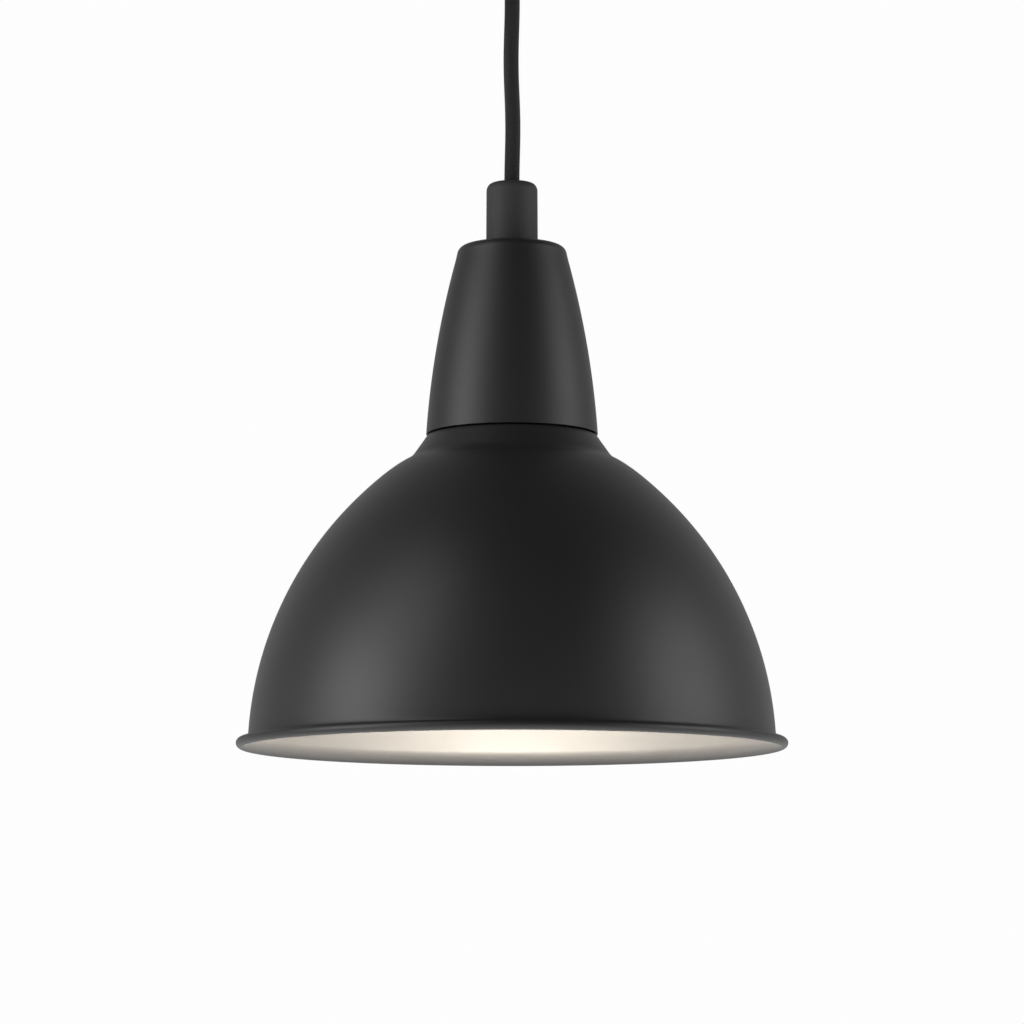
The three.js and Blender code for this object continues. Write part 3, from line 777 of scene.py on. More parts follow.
class Workshop:
    """Turns, cuts and bends metal and plastic at heights above the rim plane."""

    def __init__(self, rim_plane: float) -> None:
        """Keeps the rim plane's place in the frame, in metres."""
        self.rim_plane = rim_plane

    def spot(self, x: float, y: float, height: float) -> Vector:
        """A place in the frame from millimetres above the rim plane."""
        return Vector((x * MM, y * MM, self.rim_plane + height * MM))

    def finish_mesh(self, name: str, mesh: bmesh.types.BMesh, crease: float) -> bpy.types.Object:
        """Turns a bmesh into a linked object with smooth faces.

        Args:
            name: The object's name.
            mesh: The geometry, in metres.
            crease: The angle in degrees above which an edge stays sharp.

        Returns:
            The object.
        """
        bmesh.ops.recalc_face_normals(mesh, faces=mesh.faces)
        data = bpy.data.meshes.new(name)
        mesh.to_mesh(data)
        mesh.free()
        data.shade_smooth()
        data.set_sharp_from_angle(angle=math.radians(crease))
        made = bpy.data.objects.new(name, data)
        bpy.context.scene.collection.objects.link(made)
        return made

    def turn(self, name: str, outline: Sequence[Point], segments: int = 96, reshape: Reshape | None = None,
             inside: Callable[[int], bool] | None = None, crease: float = 35.0) -> bpy.types.Object:
        """Turns an outline about the lamp's axis.

        Args:
            name: The piece's name.
            outline: Its points, closed on itself or with both ends on the axis.
            segments: How many steps go round.
            reshape: Moves each point by its angle, radius and height.
            inside: Says by number which steps of the outline take the second material.
            crease: The angle in degrees above which an edge stays sharp.

        Returns:
            The turned piece.
        """
        mesh = bmesh.new()
        rings = []
        for radius, height in outline:
            if radius < 1e-6:
                rings.append([mesh.verts.new(self.spot(0.0, 0.0, height))])
                continue
            ring = []
            for i in range(segments):
                angle = TURN * i / segments
                far, high = reshape(angle, radius, height) if reshape else (radius, height)
                ring.append(mesh.verts.new(self.spot(far * math.cos(angle), far * math.sin(angle), high)))
            rings.append(ring)
        on_axis = len(rings[0]) == 1 and len(rings[-1]) == 1
        for j in range(len(rings) - 1 if on_axis else len(rings)):
            first, second = rings[j], rings[(j + 1) % len(rings)]
            for i in range(segments):
                k = (i + 1) % segments
                corners = [first[i % len(first)], first[k % len(first)], second[k % len(second)],
                           second[i % len(second)]]
                face = mesh.faces.new(list(dict.fromkeys(corners)))
                face.material_index = 1 if inside and inside(j) else 0
        return self.finish_mesh(name, mesh, crease)

    def slab(self, name: str, low: Spot, high: Spot, edge: float = 0.3) -> bpy.types.Object:
        """A straight-sided block with rounded edges.

        Args:
            name: The piece's name.
            low: Its lowest corner, with the height above the rim plane.
            high: Its highest corner.
            edge: The radius of its edges.

        Returns:
            The block.
        """
        mesh = bmesh.new()
        bmesh.ops.create_cube(mesh, size=1.0)
        first, last = self.spot(*low), self.spot(*high)
        for vert in mesh.verts:
            vert.co = Vector(a + (b - a) * (c + 0.5) for a, b, c in zip(first, last, vert.co))
        if edge > 0:
            bmesh.ops.bevel(mesh, geom=mesh.edges, offset=edge * MM, segments=3, profile=0.5, affect="EDGES")
        return self.finish_mesh(name, mesh, 35.0)

    def rod(self, name: str, start: Spot, end: Spot, outline: Sequence[Point], segments: int = 48,
            reshape: Reshape | None = None) -> bpy.types.Object:
        """Turns an outline about any straight line.

        Args:
            name: The piece's name.
            start: The line's start, with the height above the rim plane.
            end: A point further along the line.
            outline: Radius and distance along the line for each point.
            segments: How many steps go round.
            reshape: Moves each point by its angle, radius and distance.

        Returns:
            The turned piece.
        """
        made = self.turn(name, outline, segments, reshape)
        base, tip = self.spot(*start), self.spot(*end)
        turn = Vector((0, 0, 1)).rotation_difference(tip - base)
        for vert in made.data.vertices:
            local = Vector((vert.co.x, vert.co.y, vert.co.z - self.rim_plane))
            vert.co = base + turn @ local
        return made

    def wire(self, name: str, route: Sequence[Spot], radius: float, sides: int = 20) -> bpy.types.Object:
        """A round wire along a smooth curve through chosen points.

        Args:
            name: The piece's name.
            route: The points, with heights above the rim plane.
            radius: The wire's radius.
            sides: How many sides the wire has round it.

        Returns:
            The wire as a mesh.
        """
        curve = bpy.data.curves.new(name, "CURVE")
        curve.dimensions = "3D"
        curve.bevel_depth = radius * MM
        curve.bevel_resolution = max(1, sides // 4 - 1)
        curve.use_fill_caps = True
        curve.resolution_u = 10
        spline = curve.splines.new("BEZIER")
        spline.bezier_points.add(len(route) - 1)
        for point, place in zip(spline.bezier_points, route):
            point.co = self.spot(*place)
            point.handle_left_type = "AUTO"
            point.handle_right_type = "AUTO"
        holder = bpy.data.objects.new(name + "_line", curve)
        bpy.context.scene.collection.objects.link(holder)
        mesh = bmesh.new()
        mesh.from_mesh(holder.to_mesh())
        holder.to_mesh_clear()
        bpy.data.objects.remove(holder)
        bmesh.ops.remove_doubles(mesh, verts=mesh.verts, dist=1e-6)
        return self.finish_mesh(name, mesh, 50.0)

    def merge(self, name: str, parts: Sequence[bpy.types.Object]) -> bpy.types.Object:
        """Puts several meshes in one object.

        Args:
            name: The new piece's name.
            parts: The objects, which are used up.

        Returns:
            One object with all their faces.
        """
        mesh = bmesh.new()
        for part in parts:
            mesh.from_mesh(part.data)
            bpy.data.objects.remove(part)
        return self.finish_mesh(name, mesh, 35.0)

    def carve(self, piece: bpy.types.Object, cutters: Iterable[bpy.types.Object],
              operation: str = "DIFFERENCE") -> bpy.types.Object:
        """Cuts tools out of a piece, or welds them on.

        Args:
            piece: The piece, whose mesh is replaced.
            cutters: The tools, which are used up.
            operation: The boolean's kind.

        Returns:
            The piece.
        """
        for cutter in cutters:
            step = piece.modifiers.new("cut", "BOOLEAN")
            step.operation = operation
            step.solver = "EXACT"
            step.object = cutter
            graph = bpy.context.evaluated_depsgraph_get()
            made = bpy.data.meshes.new_from_object(piece.evaluated_get(graph))
            piece.modifiers.clear()
            piece.data = made
            bpy.data.objects.remove(cutter)
        piece.data.shade_smooth()
        piece.data.set_sharp_from_angle(angle=math.radians(32))
        return piece

    @staticmethod
    def fit(piece: bpy.types.Object, body: Body, node: str, slot: str, *finishes: Finish) -> bpy.types.Object:
        """Gives a piece its finish and its body, and hides the frame node that it stands for.

        Args:
            piece: The finished mesh.
            body: The body that it moves with.
            node: The frame node that it replaces.
            slot: The record's material slot; not used.
            finishes: One finish, or the outer and the inner one.

        Returns:
            The piece.
        """
        piece.data.materials.clear()
        for finish in finishes:
            piece.data.materials.append(finish.material())
        step = piece.modifiers.new("even_shading", "WEIGHTED_NORMAL")
        step.mode = "FACE_AREA"
        step.weight = 50
        step.keep_sharp = True
        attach(piece, body.value)
        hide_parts(node)
        log.info("%s: %d faces on %s", piece.name, len(piece.data.polygons), body.value)
        return piece


# ---- Sub-assemblies -----------------------------------------------------------------------------
@dataclass
class CeilingBracket:
    """The zinc-plated strip on the ceiling, with the rubber grommet in its cable hole."""

    shop: Workshop
    half_length: float = 45.0
    half_width: float = 9.0
    plate: float = 2.0
    ear_low: float = 323.0
    top: float = 337.0
    slot_radius: float = 26.0
    slot_half_length: float = 4.0
    slot_half_width: float = 2.35
    ear_slot_top: float = 329.35
    hole_x: float = -12.0
    hole_radius: float = 6.6
    cable_radius: float = 4.4
    lip_radius: float = 8.0
    worn_edge: float = 0.25

    def build(self) -> None:
        """Makes the strip and the grommet."""
        self._strip()
        self._grommet()

    def _strip(self) -> None:
        """Bends the ears down and cuts the slots and the cable hole."""
        under = self.top - self.plate
        strip = self.shop.slab("bracket_strip", (-self.half_length, -self.half_width, under),
                               (self.half_length, self.half_width, self.top), self.worn_edge)
        tools = []
        for side in (-1, 1):
            near, far = sorted((side * (self.half_length - self.plate), side * self.half_length))
            ear = self.shop.slab("ear", (near, -self.half_width, self.ear_low),
                                 (far, self.half_width, self.top - 0.6), self.worn_edge)
            strip = self.shop.carve(strip, [ear], "UNION")
            centre = side * self.half_length
            tools.append(self.shop.slab("ear_slot", (centre - 4, -self.slot_half_width, self.ear_low - 1),
                                        (centre + 4, self.slot_half_width, self.ear_slot_top), 0.6))
            middle = side * self.slot_radius
            first = (middle - self.slot_half_length, -self.slot_half_width, under - 2)
            last = (middle + self.slot_half_length, self.slot_half_width, self.top + 2)
            tools.append(self.shop.slab("slot", first, last, 1.2))
        hole = [(0, -4), (self.hole_radius, -4), (self.hole_radius, 4), (0, 4)]
        tools.append(self.shop.rod("hole", (self.hole_x, 0, self.top), (self.hole_x, 0, self.top + 1), hole))
        self.shop.fit(self.shop.carve(strip, tools), Body.CEILING, "bracket", "zinc", ZINC)

    def _grommet(self) -> None:
        """Turns the grommet, with its rounded lip."""
        neck, under = self.hole_radius - 0.4, self.top - self.plate
        inner, lip = self.cable_radius, self.lip_radius
        outline = [(inner, under - 1.6), (lip, under - 1.6), (lip, under - 0.3), (neck, under - 0.3),
                   (neck, self.top - 0.1), (inner, self.top - 0.1)]
        local = [(radius, height - under) for radius, height in eased(outline, 0.7)]
        piece = self.shop.rod("grommet_rubber", (self.hole_x, 0, under), (self.hole_x, 0, self.top), local)
        self.shop.fit(piece, Body.CEILING, "bracket_grommet", "rubber", RUBBER)


@dataclass
class Canopy:
    """The ceiling cup with its side screws and nuts."""

    shop: Workshop
    radius: float = 50.0
    bottom: float = 312.5
    top: float = 336.7
    edge: float = 6.0
    wall: float = 1.2
    hole: float = 5.3
    screw_height: float = 327.0
    screw_hole: float = 2.3
    screw_tip: float = 38.5
    shank: float = 1.95
    knurls: int = 28
    nut_start: float = 39.6

    def build(self) -> None:
        """Makes the cup, the screws and the nuts."""
        self._cup()
        for side, word in ((-1, "left"), (1, "right")):
            self._screw(side, word)
            self._nut(side, word)

    def _cup(self) -> None:
        """Presses the cup, with a hemmed rim, and drills the screw holes."""
        middle, rise = self.radius - self.edge, self.bottom + self.edge
        skin = arc((middle, rise), (self.edge, self.edge), -90, 0, 14)
        lining = arc((middle, rise), (self.edge - self.wall, self.edge - self.wall), 0, -90, 12)
        outline = [(self.hole, self.bottom), *skin, (self.radius, self.top),
                   (self.radius - self.wall, self.top), *lining, (self.hole, self.bottom + self.wall)]
        cup = self.shop.turn("canopy_shell", eased(outline, 0.5), 160)
        near, far, height = self.radius - 5, self.radius + 5, self.screw_height
        drill = [(0, 0), (self.screw_hole, 0), (self.screw_hole, far - near), (0, far - near)]
        tools = [self.shop.rod("drill", (side * near, 0, height), (side * far, 0, height), drill)
                 for side in (-1, 1)]
        self.shop.fit(self.shop.carve(cup, tools), Body.CANOPY, "canopy_cup", "canopy_paint", BLACK_PAINT)

    def _screw(self, side: int, word: str) -> None:
        """Turns one thumb screw with a knurled head and a threaded shank.

        Args:
            side: -1 for the left one, 1 for the right one.
            word: The side in words.
        """
        head = [(0, 15.0), (2.6, 15.0), *arc((3.0, 14.4), (0.6, 0.6), 90, 0, 3), (3.6, 12.4), (3.2, 11.9)]
        outline = [(0, 0), (1.5, 0), (self.shank, 0.5), (self.shank, 11.9), *reversed(head)]
        thread = Thread(self.shank, 0.7, 0.28, 0.5, 10.5)

        def shape(angle: float, radius: float, height: float) -> Point:
            """Threads the shank and knurls the head.

            Args:
                angle: Where the point is round the axis.
                radius: Its distance from the axis.
                height: Its height along the screw.

            Returns:
                The new radius and height.
            """
            if radius > 3.4:
                return radius - 0.18 * (0.5 - 0.5 * math.cos(self.knurls * angle)), height
            return thread(angle, radius, height)

        start = (side * self.screw_tip, 0, self.screw_height)
        end = (side * self.radius, 0, self.screw_height)
        fine = stepped(outline, 0.2, closed=False)
        piece = self.shop.rod(f"canopy_thumb_screw_{word}", start, end, fine, 84, shape)
        self.shop.fit(piece, Body.CANOPY, f"canopy_screw_{word}", "canopy_paint", BLACK_PAINT)

    def _nut(self, side: int, word: str) -> None:
        """Turns one small hexagonal nut behind the wall.

        Args:
            side: -1 for the left one, 1 for the right one.
            word: The side in words.
        """
        flats = Hexagon(across=7.0, hole=self.screw_hole, low=0.0, high=2.6, chamfer=0.4)
        start = (side * self.nut_start, 0, self.screw_height)
        end = (side * (self.radius - 5), 0, self.screw_height)
        piece = self.shop.rod(f"canopy_hex_nut_{word}", start, end, flats.outline(), 72, flats)
        self.shop.fit(piece, Body.CANOPY, f"canopy_nut_{word}", "zinc", ZINC)


@dataclass
class CordGland:
    """The gland under the canopy, with its bush, clamp screw, washer and nut."""

    shop: Workshop
    mouth: float = 301.0
    radius: float = 8.0
    bore: float = 4.9
    seat: float = 312.2
    thread_top: float = 321.0
    flex: float = 304.5
    passage: float = 3.45
    screw_height: float = 309.0

    def build(self) -> None:
        """Makes the barrel and the small pieces round it."""
        self._barrel()
        bush = eased(collar(self.passage - 0.05, self.bore - 0.35, self.flex + 2.2, self.seat - 1.5), 0.3)
        piece = self.shop.turn("gland_rubber_bush", bush, 64)
        self.shop.fit(piece, Body.CANOPY, "gland_bush", "rubber", RUBBER)
        floor = 313.7
        washer = eased(collar(self.bore + 0.35, 9, floor + 0.3, floor + 1.1), 0.15)
        piece = self.shop.turn("gland_flat_washer", washer, 72)
        self.shop.fit(piece, Body.CANOPY, "gland_washer", "zinc", ZINC)
        flats = Hexagon(across=14.0, hole=self.bore + 0.35, low=floor + 1.4, high=floor + 5.0, chamfer=0.9)
        piece = self.shop.turn("gland_hex_nut", flats.outline(), 96, flats)
        self.shop.fit(piece, Body.CANOPY, "gland_nut", "zinc", ZINC)
        start, end = self.bore + 0.05, self.radius - 0.3
        screw = socket_screw(self.shop, "gland_clamp_screw", self.screw_height, start, end, 1.55)
        self.shop.fit(screw, Body.CANOPY, "gland_screw", "black_plastic", BLACK_PLASTIC)

    def _barrel(self) -> None:
        """Turns the barrel with its threaded neck and its trumpet mouth."""
        low, wide = self.mouth, self.radius
        mouth = bend((self.bore, self.flex - 1), (5.0, low + 1.0), (6.5, low), 8)
        edge = arc((wide - 1.2, low + 1.2), (1.2, 1.2), -90, 0, 6)
        outline = [*mouth, *edge, (wide, self.seat), (self.bore, self.seat), (self.bore, self.thread_top),
                   (self.passage, self.thread_top), (self.passage, self.seat - 0.4),
                   (self.bore, self.seat - 1)]
        fine = stepped(eased(outline, 0.3), 0.25)
        thread = Thread(self.bore, 1.0, 0.35, self.seat + 0.5, self.thread_top - 0.2)
        barrel = self.shop.turn("gland_barrel", fine, 96, thread)
        drill = [(0, 0), (1.9, 0), (1.9, 5.2), (0, 5.2)]
        tool = self.shop.rod("drill", (0, 3.8, self.screw_height), (0, 9, self.screw_height), drill)
        barrel = self.shop.carve(barrel, [tool])
        self.shop.fit(barrel, Body.CANOPY, "cord_gland", "black_plastic", BLACK_PLASTIC)


def socket_screw(shop: Workshop, name: str, height: float, start: float, end: float,
                 radius: float) -> bpy.types.Object:
    """A headless screw in the back of a grip, with a slot across its outer end.

    Args:
        shop: Where it is made.
        name: The piece's name.
        height: Its height above the rim plane.
        start: How far from the axis it begins.
        end: How far from the axis it ends.
        radius: Its outer radius.

    Returns:
        The screw.
    """
    length = end - start
    outline = [(0, 0), (radius - 0.35, 0), (radius, 0.35), (radius, length - 0.25), (radius - 0.25, length),
               (0, length)]
    fine = stepped(outline, 0.15, closed=False)
    thread = Thread(radius, 0.6, 0.2, 0.3, length - 0.3)
    body = shop.rod(name, (0, start, height), (0, end, height), fine, 60, thread)
    half = 0.4
    low, high = (-radius - 1, end - 0.9, height - half), (radius + 1, end + 1, height + half)
    slot = shop.slab("slot", low, high, 0.0)
    return shop.carve(body, [slot])


def slotted_screw(shop: Workshop, name: str, x: float, y: float, low: float, high: float, shank: float,
                  head: float) -> bpy.types.Object:
    """An upright cheese-head screw with a slot.

    Args:
        shop: Where it is made.
        name: The piece's name.
        x: Its place across.
        y: Its place in depth.
        low: The height of its tip.
        high: The height of its head.
        shank: The thread's radius.
        head: The head's radius.

    Returns:
        The screw.
    """
    length, under = high - low, high - low - 1.8
    outline = [(0, 0), (shank - 0.3, 0), (shank, 0.3), (shank, under), (head, under), (head, length - 0.5),
               *arc((head - 0.5, length - 0.5), (0.5, 0.5), 0, 90, 4)[1:], (0, length)]
    fine = stepped(outline, 0.12, closed=False)
    body = shop.rod(name, (x, y, low), (x, y, high), fine, 60, Thread(shank, 0.6, 0.22, 0.3, under - 0.2))
    slot = shop.slab("slot", (x - head - 1, y - 0.35, high - 0.8), (x + head + 1, y + 0.35, high + 1), 0.0)
    return shop.carve(body, [slot])


@dataclass
class Terminals:
    """The terminal block over the gland and the two leads that rise into it."""

    shop: Workshop
    pole: float = 4.0
    low: float = 314.3
    high: float = 327.5
    entry: float = 320.0

    def build(self) -> None:
        """Makes the housing, its screws and the leads."""
        self._housing()
        leads = ((-1, "left", "blue_wire", BLUE_PVC), (1, "right", "brown_wire", BROWN_PVC))
        for side, word, slot, finish in leads:
            screw = slotted_screw(self.shop, f"terminal_screw_{word}", side * self.pole, 20, self.entry + 1.2,
                                  self.high - 0.6, 1.2, 1.85)
            self.shop.fit(screw, Body.CANOPY, f"block_screw_{word}", "zinc", ZINC)
            route = [(1.4, 0, 326.4), (1.7, 0.3, 328.4), (2.6, 2.2, 330), (3.6, 5.2, 329.2), (4, 7.8, 325.8),
                     (4, 9.4, 322.2), (4, 11.2, 320.4), (4, 15, self.entry)]
            lead = self.shop.wire(f"supply_lead_{word}", [(side * x, y, z) for x, y, z in route], 0.95)
            self.shop.fit(lead, Body.CANOPY, f"lead_{word}", slot, finish)

    def _housing(self) -> None:
        """Moulds the block, with a waist between its poles, wire entries and screw wells."""
        block = self.shop.slab("terminal_housing", (-9, 12, self.low), (9, 28, self.high), 0.8)
        tools = [self.shop.slab("waist", (-0.5, 10, self.high - 2.5), (0.5, 30, self.high + 1), 0.1)]
        for side in (-1, 1):
            x = side * self.pole
            tools.append(self.shop.rod("entry", (x, 10, self.entry), (x, 30, self.entry),
                                       [(0, 0), (1.7, 0), (1.7, 20), (0, 20)]))
            tools.append(self.shop.rod("well", (x, 20, self.entry), (x, 20, self.high),
                                       [(0, 0), (2.2, 0), (2.2, 9), (0, 9)]))
        self.shop.fit(self.shop.carve(block, tools), Body.CANOPY, "terminal_block", "white_plastic", NYLON)


@dataclass
class PendantCord:
    """The braided textile cord, with its knuckle in the gland and its hidden ends."""

    shop: Workshop
    radius: float = 3.1
    pitch: float = 1.24
    strands: int = 12
    relief: float = 0.34
    sway: float = 0.4
    sway_top: float = 243.0
    sway_length: float = 62.0
    low: float = 221.0
    flex: float = 304.5
    play: float = 2.55
    tail_low: float = 166.0
    head_high: float = 326.0
    knuckle: float = 2.2
    sides: int = 120
    step: float = 0.155

    def build(self) -> None:
        """Braids the free run, the two hidden ends and the knuckle."""
        exit_height = self.flex - self.play
        knuckle = self._knuckle()
        run, path = self._braided("textile_cord", self.low, exit_height, self.sway)
        self.shop.fit(run, Body.PENDANT, "cord", "textile", TEXTILE)
        2 * self.radius * MM
        tail, _ = self._braided("cord_end_in_lamp", self.tail_low, self.low - 0.3, 0.0)
        self.shop.fit(tail, Body.PENDANT, "cord_tail", "textile", TEXTILE)
        head, _ = self._braided("cord_end_in_canopy", self.flex + self.play, self.head_high, 0.0)
        self.shop.fit(head, Body.CANOPY, "cord_head", "textile", TEXTILE)

    def _middle(self, height: float, sway: float) -> Point:
        """How far the cord's centre wanders from the axis at one height.

        Args:
            height: The height, in millimetres.
            sway: The most that it wanders.

        Returns:
            The distance across and the distance in depth, in millimetres.
        """
        share = (height - self.low) / (self.flex - self.play - self.low)
        fade = math.sin(math.pi * min(1.0, max(0.0, share))) ** 0.7
        phase = TURN * (height - self.sway_top) / self.sway_length
        return sway * fade * math.cos(phase), 0.5 * sway * fade * math.sin(phase)

    def _surface(self, angle: float, height: float) -> float:
        """The braid's radius, where one strand passes over the next.

        Args:
            angle: Where it is round the cord.
            height: Its height, in millimetres.

        Returns:
            The radius, in millimetres.
        """
        around, along = angle * self.strands / TURN, (height + self.shop.rim_plane / MM) / self.pitch
        first, second = around + along, around - along
        over = (math.floor(first) + math.floor(second)) % 2
        across = (first if over else second) % 1.0
        down = (second if over else first) % 1.0
        crown = math.sin(math.pi * across) ** 0.7
        dive = 0.45 + 0.55 * math.sin(math.pi * down)
        return self.radius - self.relief + self.relief * crown * dive

    def _braided(self, name: str, low: float, high: float,
                 sway: float) -> tuple[bpy.types.Object, list[Spot]]:
        """Builds one length of cord.

        Args:
            name: The piece's name.
            low: Where it starts.
            high: Where it ends.
            sway: How far its middle wanders.

        Returns:
            The piece and the points that it follows, in metres.
        """
        count = max(2, round((high - low) / self.step))
        mesh = bmesh.new()
        rings, path = [], []
        for j in range(count + 1):
            height = low + (high - low) * j / count
            x, y = self._middle(height, sway)
            path.append(tuple(self.shop.spot(x, y, height)))
            ring = []
            for i in range(self.sides):
                angle = TURN * i / self.sides
                far = self._surface(angle, height)
                place = self.shop.spot(x + far * math.cos(angle), y + far * math.sin(angle), height)
                ring.append(mesh.verts.new(place))
            rings.append(ring)
        for first, second in zip(rings, rings[1:]):
            for i in range(self.sides):
                k = (i + 1) % self.sides
                mesh.faces.new((first[i], first[k], second[k], second[i]))
        mesh.faces.new(rings[0][::-1])
        mesh.faces.new(rings[-1])
        every = max(1, count // 40)
        return self.shop.finish_mesh(name, mesh, 180.0), path[::every] + [path[-1]]

    def _knuckle(self) -> bpy.types.Object:
        """Builds the short stretch of braid that bends inside the gland.

        Returns:
            The piece.
        """
        low, high = self.flex - self.knuckle, self.flex + self.knuckle
        outline = [(0, low), *arc((0, self.flex), (self.knuckle,) * 2, -80, 80, 14), (0, high)]
        piece = self.shop.turn("cord_knuckle", outline, 48)
        return self.shop.fit(piece, Body.CORD_FLEX, "cord_bend", "textile", TEXTILE)


@dataclass
class CordGrip:
    """The black grip on top of the cap, with its insert and clamp screw."""

    shop: Workshop
    radius: float = 10.25
    low: float = 197.65
    top: float = 222.7
    edge_wide: float = 2.6
    edge_tall: float = 3.2
    bore: float = 5.2
    passage: float = 3.45
    screw_height: float = 212.0

    def build(self) -> None:
        """Makes the grip's body, insert and screw."""
        self._body()
        insert = eased(collar(self.passage, self.bore - 0.35, 208.0, self.top - 6), 0.3)
        piece = self.shop.turn("grip_nylon_insert", insert, 64)
        self.shop.fit(piece, Body.PENDANT, "grip_insert", "white_plastic", NYLON)
        start, end = self.bore + 0.1, self.radius - 0.4
        screw = socket_screw(self.shop, "grip_clamp_screw", self.screw_height, start, end, 1.85)
        self.shop.fit(screw, Body.PENDANT, "grip_screw", "black_plastic", BLACK_PLASTIC)

    def _body(self) -> None:
        """Turns the body, slightly wider at its foot, with a soft top edge and a break at the foot."""
        draft = 0.1
        middle = (self.radius - draft - self.edge_wide, self.top - self.edge_tall)
        rim = arc(middle, (self.edge_wide, self.edge_tall), 90, 0, 16)
        roof = self.top - 5
        outline = [(self.passage, self.top), *rim, (self.radius, self.low), (self.bore, self.low),
                   (self.bore, roof), (self.passage, roof)]
        body = self.shop.turn("cord_grip_body", stepped(eased(outline, 0.35, 4), 1.0), 128)
        drill = [(0, 0), (2.2, 0), (2.2, 10), (0, 10)]
        tool = self.shop.rod("drill", (0, 3, self.screw_height), (0, 9, self.screw_height), drill)
        body = self.shop.carve(body, [tool])
        self.shop.fit(body, Body.PENDANT, "cord_grip", "black_plastic", BLACK_PLASTIC)


@dataclass
class CentreTube:
    """The threaded tube that holds cap, grip and lampholder together, with its washer and nut."""

    shop: Workshop
    bore: float = 3.5
    radius: float = 4.9
    low: float = 171.0
    high: float = 207.0
    plate_under: float = 196.35

    def build(self) -> None:
        """Makes the tube, the star washer and the nut."""
        outline = stepped(eased(collar(self.bore, self.radius, self.low, self.high), 0.3), 0.2)
        thread = Thread(self.radius, 1.0, 0.4, self.low + 0.3, self.high - 0.3)
        piece = self.shop.turn("fixing_tube", outline, 72, thread)
        self.shop.fit(piece, Body.PENDANT, "threaded_tube", "zinc", ZINC)
        star = stepped(collar(self.radius + 0.35, 8.5, self.plate_under - 0.9, self.plate_under - 0.3), 0.9)
        teeth = Ribs(radius=8.5, count=18, depth=1.1)
        piece = self.shop.turn("toothed_washer", star, 144, teeth)
        self.shop.fit(piece, Body.PENDANT, "star_washer", "zinc", ZINC)
        flats = Hexagon(across=14.0, hole=self.radius + 0.35, low=self.plate_under - 4.8,
                        high=self.plate_under - 1.2, chamfer=0.9)
        piece = self.shop.turn("tube_lock_nut", flats.outline(), 96, flats)
        self.shop.fit(piece, Body.PENDANT, "lock_nut", "zinc", ZINC)


@dataclass
class Cap:
    """The tapered cap that hides the lampholder."""

    shop: Workshop
    low: float = 122.0
    top: float = 197.35
    low_radius: float = 33.85
    apex: float = 200.0
    apex_radius: float = 20.0
    bulge: float = 2.2
    edge: float = 3.6
    sheet: float = 1.0
    hole: float = 5.3

    def radius_at(self, height: float) -> float:
        """The outside radius at one height.

        Args:
            height: The height, in millimetres.

        Returns:
            The radius, in millimetres.
        """
        share = (height - self.low) / (self.apex - self.low)
        straight = self.low_radius + (self.apex_radius - self.low_radius) * share
        return straight + 4 * self.bulge * share * (1 - share)

    def build(self) -> None:
        """Spins the cap from sheet, with a soft top edge."""
        side_top = self.top - self.edge
        middle = self.radius_at(side_top) - self.edge
        skin = arc((middle, side_top), (self.edge, self.edge), 90, 10, 14)
        steps = 36
        heights = [side_top + (self.low - side_top) * i / steps for i in range(1, steps + 1)]
        skin += [(self.radius_at(height), height) for height in heights]
        lining = inset(skin, self.sheet)
        lining[0] = (middle, self.top - self.sheet)
        lining[-1] = (lining[-1][0], self.low)
        outline = [(self.hole, self.top), *skin, *lining[::-1], (self.hole, self.top - self.sheet)]
        piece = self.shop.turn("cap_shell", eased(outline, 0.22), 192)
        # The cap's paint is the shade's black paint, darkened as painted shade.
        self.shop.fit(piece, Body.PENDANT, "cap", "shade_paint", SHADED_CAP_PAINT)


